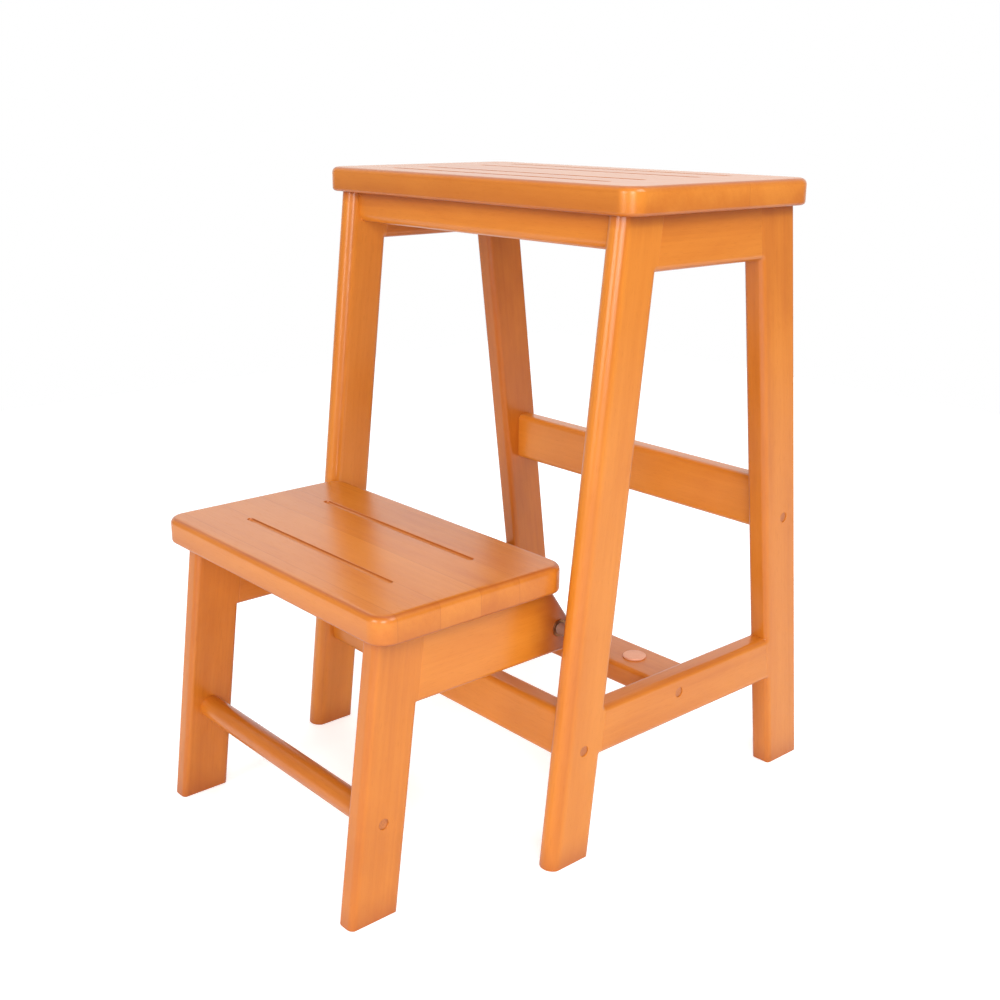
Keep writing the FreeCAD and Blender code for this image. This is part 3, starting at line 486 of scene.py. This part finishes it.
def layGrain(piece, node, along, across, fixedShift=None, shadeAndStainAt=None):
    # writes each point's place in its board: across the grain, through it and along it, with a shift of its
    # own, the board's tone, and how deep the painted shade, with some stain, lies at the point
    mesh = piece.data
    low, high = boxOf(node)
    points = pointsOf(mesh)
    along = np.array(along) / np.linalg.norm(along)
    across = np.array(across) - along * np.dot(across, along)
    across = across / np.linalg.norm(across)
    through = np.cross(along, across)
    shift = np.random.uniform(-3, 3, 3) if fixedShift is None else np.array(fixedShift)
    offset = points - (low + high) / 2
    place = np.stack([offset @ across, offset @ through, offset @ along], axis=-1) + shift
    layers = {"grain": ("FLOAT_VECTOR", "vector", place.ravel()),
              "tone": ("FLOAT", "value", np.full(len(points), boardToneLightAndShade.get(node, 0.0))),
              "shadeAndStain": ("FLOAT", "value", shadeAndStainAt(points) if shadeAndStainAt else np.zeros(len(points)))}
    for name, (kind, field, values) in layers.items():
        mesh.attributes.new(name, kind, "POINT").data.foreach_set(field, values)


# boards you stand on

boardShape = {
    "corner": 15 * millimetre,
    "upperRound": 5 * millimetre,
    "lowerRound": 3 * millimetre,
    "grooveHalf": 2.5 * millimetre,
    "grooveDepth": 2 * millimetre,
    "grooveLip": 0.7 * millimetre,
    "grooveArc": 1.25,
    "grooveFullness": 0.62,
    "lipFall": 0.28,
    "lineSpacing": 14 * millimetre,
}
# where a board is coloured deeper: down a groove's wall as shares of its depth, which is painted shade with
# some stain, down from the upper edge, and up from the lower edge as painted shade under the board; the grooves
# lie farther than the margins from the ends and the long edges
boardShadeAndStain = {
    "margins": (20 * millimetre, 12 * millimetre),
    "wall": ((0, 0.12, 0.5, 0.8), (0, 0.85, 0.5, 0.0)),
    "rim": ((0, 0.0005, 0.0018, 0.005), (0, 0.7, 0.25, 0)),
    "under": 0.75,
    "underHeight": 5 * millimetre,
}
topGrooves = {"reach": 126 * millimetre, "rows": [v * millimetre for v in (-66, -30, 30, 66)],
              "shift": (0, 0.013, 0.31)}
treadGrooves = {"reach": 95 * millimetre, "rows": [v * millimetre for v in (-36.5, 36.5)],
                "shift": (0, 0.047, 0.77)}


def grooveProfile():
    # (distance from the middle line, depth) of a round-bottomed groove with softly rounded lips
    half, depth, lip = boardShape["grooveHalf"], boardShape["grooveDepth"], boardShape["grooveLip"]
    bottom = half * np.sin(np.linspace(0, boardShape["grooveArc"], 8))
    wall = depth - (half - np.sqrt(half ** 2 - bottom ** 2)) * boardShape["grooveFullness"]
    outward = np.linspace(0, 1, 6)
    lipDepth = boardShape["lipFall"] * lip * (1 - outward) ** 2
    return np.concatenate([bottom, half + lip * outward]), np.concatenate([wall, lipDepth])


def roundedPlan(half, corner, xLines, yLines):
    # A rounded rectangle is a square grid whose corner squares are bent to quarter discs: the larger of the two
    # shares is the radius and their ratio the angle. It gives each point's place and distance from the edge.
    gridX, gridY = np.meshgrid(xLines, yLines, indexing="ij")
    shareX = np.clip((np.abs(gridX) - half[0] + corner) / corner, 0, 1)
    shareY = np.clip((np.abs(gridY) - half[1] + corner) / corner, 0, 1)
    largest = np.maximum(shareX, shareY)
    inCorner = (shareX > 0) & (shareY > 0)
    ratio = np.minimum(shareX, shareY) / np.maximum(largest, 1e-9)
    angle = np.where(shareX >= shareY, ratio * math.pi / 4, math.pi / 2 - ratio * math.pi / 4)
    bentX = np.sign(gridX) * (half[0] - corner + corner * largest * np.cos(angle))
    bentY = np.sign(gridY) * (half[1] - corner + corner * largest * np.sin(angle))
    fromEdges = np.minimum(half[0] - np.abs(gridX), half[1] - np.abs(gridY))
    edge = np.where(inCorner, corner * (1 - largest), fromEdges)
    return np.where(inCorner, bentX, gridX), np.where(inCorner, bentY, gridY), edge


def makeBoard(name, body, grooves, material):
    # the upper sheet falls by its edge's round and by the grooves, the lower one by its edge's round
    low, high = boxOf(name)
    centre = (low + high) / 2
    half = (high - low) / 2
    corner = boardShape["corner"]
    offsets, depths = grooveProfile()
    margin = np.concatenate([roundSteps(boardShape["upperRound"], 7), roundSteps(boardShape["lowerRound"], 4),
                             corner * np.linspace(0.2, 1, 7)])
    slotEnd = grooves["reach"] - boardShape["grooveHalf"]
    xStops = np.concatenate([half[0] - margin, slotEnd + offsets])
    yStops = np.append(half[1] - margin, 0)
    yRows = np.concatenate([row + sign * offsets for row in grooves["rows"] for sign in (-1, 1)])
    xLines = gridLines([-xStops, xStops], boardShape["lineSpacing"])
    yLines = gridLines([-yStops, yStops, yRows], boardShape["lineSpacing"])
    x, y, edge = roundedPlan(half, corner, xLines, yLines)
    groove = np.zeros(x.shape)
    for row in grooves["rows"]:
        distance = np.hypot(np.maximum(np.abs(x) - slotEnd, 0), y - row)
        groove = np.maximum(groove, np.interp(distance, offsets, depths, right=0))
    upper = high[2] - np.maximum(edgeDrop(edge, boardShape["upperRound"]), groove)
    lower = low[2] + edgeDrop(edge, boardShape["lowerRound"])
    plan = np.stack([x + centre[0], y + centre[1]], axis=-1)
    piece = addObject(name + "Board", *slabMesh(plan, lower, upper, "xyz"))

    # painted shade down the grooves' walls, with some stain, and under the lower edge; a deeper rim below the
    # upper edge
    def shadeAndStainAt(points):
        fromMiddle = np.abs(points - centre)
        endMargin, sideMargin = boardShadeAndStain["margins"]
        inside = (fromMiddle[:, 0] < half[0] - endMargin) & (fromMiddle[:, 1] < half[1] - sideMargin)
        upperSide = points[:, 2] > centre[2]
        fall = high[2] - points[:, 2]
        share = np.where(inside & upperSide, fall, 0) / boardShape["grooveDepth"]
        wall = np.interp(share, *boardShadeAndStain["wall"])
        nearUnder = np.clip(1 - (points[:, 2] - low[2]) / boardShadeAndStain["underHeight"], 0, 1)
        under = np.where(inside, 0, nearUnder) * boardShadeAndStain["under"]
        rim = np.where(inside | ~upperSide, 0, np.interp(fall, *boardShadeAndStain["rim"]))
        return np.maximum.reduce([wall, under, rim])

    layGrain(piece, name, (1, 0, 0), (0, 1, 0), grooves["shift"], shadeAndStainAt)
    finishPiece(piece, body, [name], material)


makeBoard("top_board", "stool_frame", topGrooves, topWood)
makeBoard("step_tread", "fold_step", treadGrooves, treadWood)
print("boards made")


# side frames

frameShape = {
    "legWidth": 40 * millimetre,
    "noseOuter": 9.3 * millimetre,
    "noseInner": 9.3 * millimetre,
    "rearRound": 3 * millimetre,
    "openingRound": 5 * millimetre,
    "footRound": 1 * millimetre,
    "seam": 0.22 * millimetre,
    "lineSpacing": 24 * millimetre,
    "columnSpacing": 8 * millimetre,
}
stepShape = {
    "legWidth": 41 * millimetre,
    "noseOuter": 5.5 * millimetre,
    "noseInner": 4.5 * millimetre,
    "openingRound": 4 * millimetre,
    "footRound": 1 * millimetre,
    "tailBehindTread": -2 * millimetre,
    "seam": 0.22 * millimetre,
    "lineSpacing": 24 * millimetre,
    "columnSpacing": 8 * millimetre,
}
recess = {"radius": 4.05 * millimetre, "depth": 8 * millimetre, "lip": 0.25 * millimetre}
pivotBore = {"radius": 5.0 * millimetre, "depth": 30 * millimetre, "lip": 0.1 * millimetre,
             "proud": 1 * millimetre}
# where the bars are coloured deeper: on the arrises, and as painted shade up from the feet, under the boards
# and at the rails' tails, behind the main front legs
edgeShadeAndArris = {
    "arris": 0.32,
    "arrisFall": ((0.0001, 0.0012, 0.003, 0.006), (0, 1, 0.7, 0)),
    "foot": 0.55,
    "footHeight": 26 * millimetre,
    "footPower": 1.5,
    "shoulder": 0.8,
    "shoulderHeight": 9 * millimetre,
    "tail": 0.85,
    "tailReach": 18 * millimetre,
    "tailStart": 22 * millimetre,
}


def leaning(atFloor, atTop, height):
    # depth of a leaning edge at a height, on the straight line between its two ends
    return lambda q: atFloor + (atTop - atFloor) * q / height


def seamDrop(distance, seam):
    # a hairline joint: a shallow valley beside it
    slope = 0.7
    return np.maximum(seam - distance, 0) * slope


def outerInner(box, side):
    # how far a side board's outer and inner face lie from the ladder's middle
    low, high = box
    return (high[0], low[0]) if side > 0 else (-low[0], -high[0])


def sideFaces(side, outer, inner, outerDrop, innerDrop):
    # both faces of a side board as (low, high) along x, on the right (1) or left (-1)
    outside, inside = outer - outerDrop, inner + innerDrop
    return (inside, outside) if side > 0 else (-outside, -inside)


def shoulderShade(points, height):
    # painted shade at the points just below a height, where the board above shades them
    nearness = np.clip(1 - (height - points[:, 2]) / edgeShadeAndArris["shoulderHeight"], 0, 1)
    return nearness * edgeShadeAndArris["shoulder"]


def sideShadeAndArris(outer, inner, height, tailFrom=None):
    # deeper on the rounded arrises, where a point lies a little in from either face; painted shade at the foot,
    # just below the given height and, from a given depth on, towards a step rail's tail, in the main leg's
    # shadow
    def shadeAndStainAt(points):
        fall = np.minimum(outer - np.abs(points[:, 0]), np.abs(points[:, 0]) - inner)
        arris = np.interp(fall, *edgeShadeAndArris["arrisFall"]) * edgeShadeAndArris["arris"]
        # painted shade darkening up from the floor
        nearFoot = np.clip(1 - points[:, 2] / edgeShadeAndArris["footHeight"], 0, 1)
        foot = nearFoot ** edgeShadeAndArris["footPower"] * edgeShadeAndArris["foot"]
        shadesAndArris = [arris, foot, shoulderShade(points, height)]
        # painted shadow of the main front leg on the step rail's tail
        if tailFrom is not None:
            nearTail = np.clip((points[:, 1] - tailFrom) / edgeShadeAndArris["tailReach"], 0, 1)
            shadesAndArris.append(nearTail * edgeShadeAndArris["tail"])
        return np.maximum.reduce(shadesAndArris)
    return shadeAndStainAt


def makeLeg(name, body, side, backward, shape, inner, height, edges, joints, zStops, cutters, material):
    # Rows run up the leg and columns across it, from the edge beside the opening to the outer edge. Each face
    # is the flat board less the deepest of its rounds: opening, outer edge and foot.
    outerX, innerX = outerInner(boxOf(name), side)
    width = shape["legWidth"]
    outerRound = shape["noseOuter"] if backward < 0 else shape["rearRound"]
    innerRound = shape["noseInner"] if backward < 0 else shape["rearRound"]
    opening, seam = shape["openingRound"], shape["seam"]
    justPast = 0.4 * millimetre
    across = gridLines([roundSteps(opening, division["round"]), [0, seam / 2, seam, opening + justPast],
                        width - roundSteps(outerRound, division["nose"]),
                        width - roundSteps(innerRound, division["round"]),
                        [width - outerRound - justPast]], shape["columnSpacing"])
    up = gridLines([[0, height, height - edgeShadeAndArris["shoulderHeight"]],
                    roundSteps(shape["footRound"], division["foot"]),
                    edgeShadeAndArris["footHeight"] * np.linspace(0.2, 1, 5), zStops], shape["lineSpacing"])
    q, t = np.meshgrid(up, across, indexing="ij")
    foot = edgeDrop(q, shape["footRound"])
    squeezed = foot + t * (width - 2 * foot) / width
    p = inner(q) + backward * squeezed
    openingDrop = edgeDrop(awayFrom(edges, p, q), opening)
    jointDrop = seamDrop(awayFrom(joints, p, q), seam)
    outerDrop = np.maximum.reduce([openingDrop, edgeDrop(width - t, outerRound), foot, jointDrop])
    innerDrop = np.maximum.reduce([openingDrop, edgeDrop(width - t, innerRound), foot, jointDrop])
    lowFace, highFace = sideFaces(side, outerX, innerX, outerDrop, innerDrop)
    piece = addObject(name + "Board", *slabMesh(np.stack([p, q], axis=-1), lowFace, highFace, "yzx"))
    cutAway(piece, cutters)
    lean = inner(height) - inner(0)
    layGrain(piece, name, (0, lean, height), (0, 1, 0), shadeAndStainAt=sideShadeAndArris(outerX, innerX, height))
    finishPiece(piece, body, [name], material)


def makeRail(name, body, side, shape, start, end, edges, joints, cutters, material, height, tailFrom=None):
    # Rows run along the rail between two slanted ends and columns up it; near each end the rows keep their
    # distance from that end, in between they are blended by their share of the length.
    low, high = boxOf(name)
    outerX, innerX = outerInner((low, high), side)
    opening, seam = shape["openingRound"], shape["seam"]
    rounds = roundSteps(opening, division["round"])
    near = np.unique(np.concatenate([rounds, [seam / 2, seam]]))
    count = max(4, int((high[1] - low[1]) / (20 * millimetre)))
    between = np.linspace(0, 1, count + 2)[1:-1]
    share = np.concatenate([np.zeros(len(near)), between, np.ones(len(near))])
    offset = np.concatenate([near, np.zeros(count), -near[::-1]])
    up = gridLines([low[2] + rounds, high[2] - rounds], shape["columnSpacing"])
    shareGrid, q = np.meshgrid(share, up, indexing="ij")
    offsetGrid = np.repeat(offset[:, None], len(up), axis=1)
    p = start(q) * (1 - shareGrid) + end(q) * shareGrid + offsetGrid
    drop = np.maximum(edgeDrop(awayFrom(edges, p, q), opening), seamDrop(awayFrom(joints, p, q), seam))
    lowFace, highFace = sideFaces(side, outerX, innerX, drop, drop)
    piece = addObject(name + "Board", *slabMesh(np.stack([p, q], axis=-1), lowFace, highFace, "yzx"))
    cutAway(piece, cutters)
    layGrain(piece, name, (0, 1, 0), (0, 0, 1), shadeAndStainAt=sideShadeAndArris(outerX, innerX, height, tailFrom))
    finishPiece(piece, body, [name], material)


def edgeBetween(line, q0, q1):
    # the stretch of a leaning edge between two heights
    return ((line(q0), q0), (line(q1), q1))


def levelEdge(start, end, q):
    # the level edge of a rail between two leaning edges
    return ((start(q), q), (end(q), q))


plugReach = 20 * millimetre


def plugPlaces(node):
    # middles of a node's separate plugs: the points within reach of the first one left are one plug
    points = pointsOf(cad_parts[node].data)
    places = []
    while len(points):
        close = np.linalg.norm(points - points[0], axis=1) < plugReach
        group = points[close]
        places.append((group.min(axis=0) + group.max(axis=0)) / 2)
        points = points[~close]
    return np.array(places)


def plugCutters(node, side, box):
    # recesses for the plugs that lie in one board's box; each opens on the board's outer face
    low, high = box
    places = plugPlaces(node)
    inside = np.all((places > low) & (places < high), axis=1)
    face = high[0] if side > 0 else low[0]
    return [roundHole((face, spot[1], spot[2]), side, recess["radius"], recess["depth"], recess["lip"])
            for spot in places[inside]]


def mainFrame(side, name):
    # two legs that lean together and the two rails between them
    frontLow, frontHigh = boxOf(name + "_front_leg")
    rearLow, rearHigh = boxOf(name + "_rear_leg")
    lowerLow, lowerHigh = boxOf(name + "_lower_rail")
    upperLow, upperHigh = boxOf(name + "_top_rail")
    width, height = frameShape["legWidth"], frontHigh[2]
    frontInner = leaning(frontLow[1] + width, frontHigh[1], height)
    rearInner = leaning(rearHigh[1] - width, rearLow[1], height)
    bottom, top, under = lowerLow[2], lowerHigh[2], upperLow[2]
    edges = [edgeBetween(frontInner, 0, bottom), edgeBetween(rearInner, 0, bottom),
             levelEdge(frontInner, rearInner, bottom), levelEdge(frontInner, rearInner, top),
             edgeBetween(frontInner, top, under), edgeBetween(rearInner, top, under),
             levelEdge(frontInner, rearInner, under)]
    joints = [edgeBetween(line, a, b) for line in (frontInner, rearInner)
              for a, b in ((bottom, top), (under, height))]
    rounds = roundSteps(frameShape["openingRound"], division["round"])
    stops = np.concatenate([bottom + rounds, top - rounds, under + rounds, height - rounds])
    for place, backward, inner, box in (("front", -1, frontInner, (frontLow, frontHigh)),
                                        ("rear", 1, rearInner, (rearLow, rearHigh))):
        makeLeg(f"{name}_{place}_leg", "stool_frame", side, backward, frameShape, inner, height,
                edges, joints, stops, plugCutters("frame_plugs", side, box), legWood)
    for rail, box in (("lower", (lowerLow, lowerHigh)), ("top", (upperLow, upperHigh))):
        makeRail(f"{name}_{rail}_rail", "stool_frame", side, frameShape, frontInner, rearInner, edges, joints,
                 plugCutters("frame_plugs", side, box), legWood, height)


def stepFrame(side, name):
    # a step leg and the rail that runs back from it to the pivot, with a slanted tail
    legLow, legHigh = boxOf(name + "_step_leg")
    railLow, railHigh = boxOf(name + "_step_rail")
    treadHigh = boxOf("step_tread")[1]
    width, height = stepShape["legWidth"], legHigh[2]
    inner = leaning(legLow[1] + width, legHigh[1], height)
    under, top = railLow[2], railHigh[2]
    tailTop = treadHigh[1] + stepShape["tailBehindTread"]

    def tail(q):
        return railHigh[1] + (tailTop - railHigh[1]) * (q - under) / (top - under)

    edges = [edgeBetween(inner, 0, under), levelEdge(inner, tail, under), edgeBetween(tail, under, top)]
    joints = [edgeBetween(inner, under, top)]
    stops = np.append(under + roundSteps(stepShape["openingRound"], division["round"]), top)
    makeLeg(name + "_step_leg", "fold_step", side, -1, stepShape, inner, height, edges, joints, stops,
            plugCutters("step_plugs", side, (legLow, legHigh)), legWood)
    bushLow, bushHigh = boxOf("pivot_bushings")
    middle = (bushLow + bushHigh) / 2
    face = (railHigh[0] if side > 0 else railLow[0]) + side * pivotBore["proud"]
    bore = roundHole((face, middle[1], middle[2]), side, pivotBore["radius"], pivotBore["depth"],
                     pivotBore["lip"])
    makeRail(name + "_step_rail", "fold_step", side, stepShape, inner, tail, edges, joints, [bore], legWood,
             top, tailFrom=middle[1] - edgeShadeAndArris["tailStart"])


for sign, word in ((1, "right"), (-1, "left")):
    mainFrame(sign, word)
    stepFrame(sign, word)
print("side frames made")


# cross pieces

crossShape = {
    "apronRound": 7 * millimetre,
    "apronInner": 2 * millimetre,
    "apronTop": 0.5 * millimetre,
    "stretcherRound": 5 * millimetre,
    "padStretcherRound": 3.5 * millimetre,
    "lineSpacing": 30 * millimetre,
    "columnSpacing": 6 * millimetre,
}


def makeCross(name, body, rounds, flat, material):
    # A board from side to side. Columns run over its broad face, which looks along y, or along z when it lies
    # flat; rounds gives the radii of the low face's low and high edge, then of the high face's two edges.
    low, high = boxOf(name)
    face, depth = (1, 2) if flat else (2, 1)
    steps = [roundSteps(r, division["crossRound"]) for r in rounds]
    lines = gridLines([low[face] + steps[0], low[face] + steps[2],
                       high[face] - steps[1], high[face] - steps[3]], crossShape["columnSpacing"])
    span = gridLines([[low[0], high[0]]], crossShape["lineSpacing"])
    x, v = np.meshgrid(span, lines, indexing="ij")
    fromLow, fromHigh = v - low[face], high[face] - v
    lower = low[depth] + np.maximum(edgeDrop(fromLow, rounds[0]), edgeDrop(fromHigh, rounds[1]))
    upper = high[depth] - np.maximum(edgeDrop(fromLow, rounds[2]), edgeDrop(fromHigh, rounds[3]))
    axes = "xyz" if flat else "xzy"
    piece = addObject(name + "Board", *slabMesh(np.stack([x, v], axis=-1), lower, upper, axes))
    # painted shade on whatever lies just below the top board, here the aprons' upper edges
    underBoard = boxOf("top_board")[0][2]
    layGrain(piece, name, (1, 0, 0), (0, 1, 0) if flat else (0, 0, 1),
             shadeAndStainAt=lambda points: shoulderShade(points, underBoard))
    finishPiece(piece, body, [name], material)


apron, inside, top = crossShape["apronRound"], crossShape["apronInner"], crossShape["apronTop"]
soft, softer = crossShape["stretcherRound"], crossShape["padStretcherRound"]
makeCross("front_apron", "stool_frame", (apron, top, inside, top), False, legWood)
makeCross("rear_apron", "stool_frame", (inside, top, apron, top), False, legWood)
makeCross("front_stretcher", "stool_frame", (soft,) * 4, False, legWood)
makeCross("rear_stretcher", "stool_frame", (soft,) * 4, False, legWood)
makeCross("pad_stretcher", "stool_frame", (softer,) * 4, True, legWood)


def makeRung():
    # a turned bar: constant radius along x, its ends hidden in the step legs
    low, high = boxOf("step_rung")
    centre, radius = (low + high) / 2, (high[2] - low[2]) / 2
    reach = (high[0] - low[0]) / 2
    ease = 1 * millimetre
    barrel = [(radius, v) for v in np.linspace(-reach + ease, reach - ease, 24)]
    profile = [(0, -reach), (radius - ease, -reach)] + barrel + [(radius - ease, reach), (0, reach)]
    piece = addObject("stepRungBar", *turnedMesh(profile, centre, "x", division["rung"]))
    layGrain(piece, "step_rung", (1, 0, 0), (0, 0, 1))
    finishPiece(piece, "fold_step", ["step_rung"], legWood)


makeRung()
print("cross pieces made")


# rest pads

padShape = {"rim": 0.7 * millimetre, "dome": 0.25 * millimetre, "foot": 0.3 * millimetre}
padRubber = makePlain("padRubber", (0.78, 0.40, 0.26), (0.68, 0.31, 0.19), 0.5, 1400)


def makePads():
    # each pad is a turned disc: a quarter-round rim and a slightly domed top
    low, high = boxOf("rest_pads")
    radius = (high[1] - low[1]) / 2
    height = high[2] - low[2]
    rim, dome, foot = padShape["rim"], padShape["dome"], padShape["foot"]
    turn = np.linspace(0, math.pi / 2, 7)
    edge = [(radius - rim + rim * math.cos(a), height - dome - rim + rim * math.sin(a)) for a in turn]
    share = np.linspace(1, 0, 7)[1:]
    crown = [((radius - rim) * s, height - dome * s * s) for s in share]
    profile = [(0, 0), (radius - foot, 0), (radius, foot)] + edge + crown
    parts = [turnedMesh(profile, (x, (low[1] + high[1]) / 2, low[2]), "z", division["pad"])
             for x in (low[0] + radius, high[0] - radius)]
    points = np.concatenate([part[0] for part in parts])
    faces = np.concatenate([parts[0][1], parts[1][1] + len(parts[0][0])])
    piece = addObject("restPads", points, faces)
    finishPiece(piece, "stool_frame", ["rest_pads"], padRubber)


makePads()

# hardware and joinery kept from the frame

nickel = makeMetal("nickel", (0.50, 0.46, 0.43), (0.36, 0.33, 0.31), 0.38, 2600)
zinc = makeMetal("zinc", (0.74, 0.71, 0.62), (0.55, 0.52, 0.44), 0.36, 2200)
brass = makeMetal("brass", (0.40, 0.22, 0.11), (0.26, 0.14, 0.07), 0.42, 2400)
sleevePlastic = makePlain("sleevePlastic", (0.34, 0.19, 0.14), (0.26, 0.14, 0.10), 0.42, 1600)
plugWood = makeDowelWood("plugWood", (0.56, 0.170, 0.022), (0.36, 0.090, 0.012), 0.35, (0, 0, math.pi / 2))
pinWood = makeDowelWood("pinWood", (0.78, 0.56, 0.33), (0.62, 0.42, 0.22), 0.0, (0, 0, 0))
kept = {
    "rail_dowels": pinWood, "cross_dowels": pinWood, "step_dowels": pinWood,
    "stretcher_screws": zinc, "top_board_screws": zinc, "rung_screws": zinc, "tread_screws": zinc,
    "frame_plugs": plugWood, "step_plugs": plugWood,
    "pivot_bolts": nickel, "pivot_inserts": nickel, "pivot_washers": nickel,
    "pivot_spacers": sleevePlastic, "pivot_bushings": brass,
}
for node, material in kept.items():
    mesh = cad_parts[node].data
    mesh.materials.clear()
    mesh.materials.append(material)
print("hardware finished")


# floor, light and air

studio = {
    "floorSize": 3.2,
    "floorDrop": 0.2 * millimetre,
    "floorShade": (0.95, 0.95, 0.95),
    "floorGlow": 0.06,
    "floorSeen": 0.40,
    "backAir": 1.05,
    "frontAir": 0.34,
    "backWay": (-0.72, 0.64, 0.25),
    "airLevels": (0.35, 0.85),
    "aim": (0, 0, 0.25),
    "boxes": {
        "leftBox": ((0.32, -4.0, 1.6), (1.5, 2.5), 76.0),
        "rightBox": ((1.75, -1.40, 1.1), (0.8, 1.5), 31.0),
        "sideBox": ((1.75, 0.30, 2.0), (1.2, 1.2), 26.0),
        "overBox": ((0.0, 0.25, 2.4), (1.5, 1.5), 6.0),
    },
}


def makeFloor():
    # a level sheet under the feet
    half = studio["floorSize"] / 2
    lines = np.linspace(-half, half, 9)
    x, y = np.meshgrid(lines, lines, indexing="ij")
    points = np.stack([x, y, np.full(x.shape, -studio["floorDrop"])], axis=-1).reshape(-1, 3)
    mesh = bpy.data.meshes.new("floor")
    mesh.from_pydata(points.tolist(), [], gridFaces(len(lines), len(lines)).tolist())
    floor = bpy.data.objects.new("floor", mesh)
    bpy.context.scene.collection.objects.link(floor)
    paper = Finish("floorPaper")
    cloud = paper.noise(paper.place(), scale=3, detail=2)
    tint = paper.mix(cloud, studio["floorShade"], tuple(c * 0.985 for c in studio["floorShade"]))
    glow = paper.node("LightPath") * studio["floorSeen"] + studio["floorGlow"]
    mesh.materials.append(paper.surface(Base_Color=tint, Roughness=0.9, Emission_Strength=1.0,
                                        Emission_Color=paper.mix(glow, (0, 0, 0), (1, 1, 1))))


def makeLight(name, spot, size, power):
    # a flat soft box, upright, that faces the ladder
    data = bpy.data.lights.new(name, "AREA")
    data.shape = "RECTANGLE"
    data.size, data.size_y = size
    data.energy = power
    lamp = bpy.data.objects.new(name, data)
    bpy.context.scene.collection.objects.link(lamp)
    lamp.rotation_euler = (Vector(studio["aim"]) - Vector(spot)).to_track_quat("-Z", "Y").to_euler()
    lamp.location = spot


def makeAir():
    # a white sweep: seen plainly it is white all round, and it lights more from behind the ladder than from
    # in front
    air = Finish("studioAir", bpy.data.worlds.new("studioAir"))
    facing = {0: air.place(), 1: studio["backWay"]}
    toBack = air.node("VectorMath", {"operation": "DOT_PRODUCT"}, facing, output=1)
    glow = air.spread(toBack, *studio["airLevels"], studio["frontAir"], studio["backAir"])
    seen = air.node("LightPath")
    strength = glow + (1.0 - glow) * seen
    white = air.node("Background", None, {"Color": (1, 1, 1, 1), "Strength": strength})
    air.node("OutputWorld", None, {"Surface": white})
    bpy.context.scene.world = air.material


makeFloor()
makeAir()
for name, (spot, size, power) in studio["boxes"].items():
    makeLight(name, spot, size, power)
view = bpy.context.scene.view_settings
view.view_transform = "Standard"
view.look = "None"
print("studio lit")
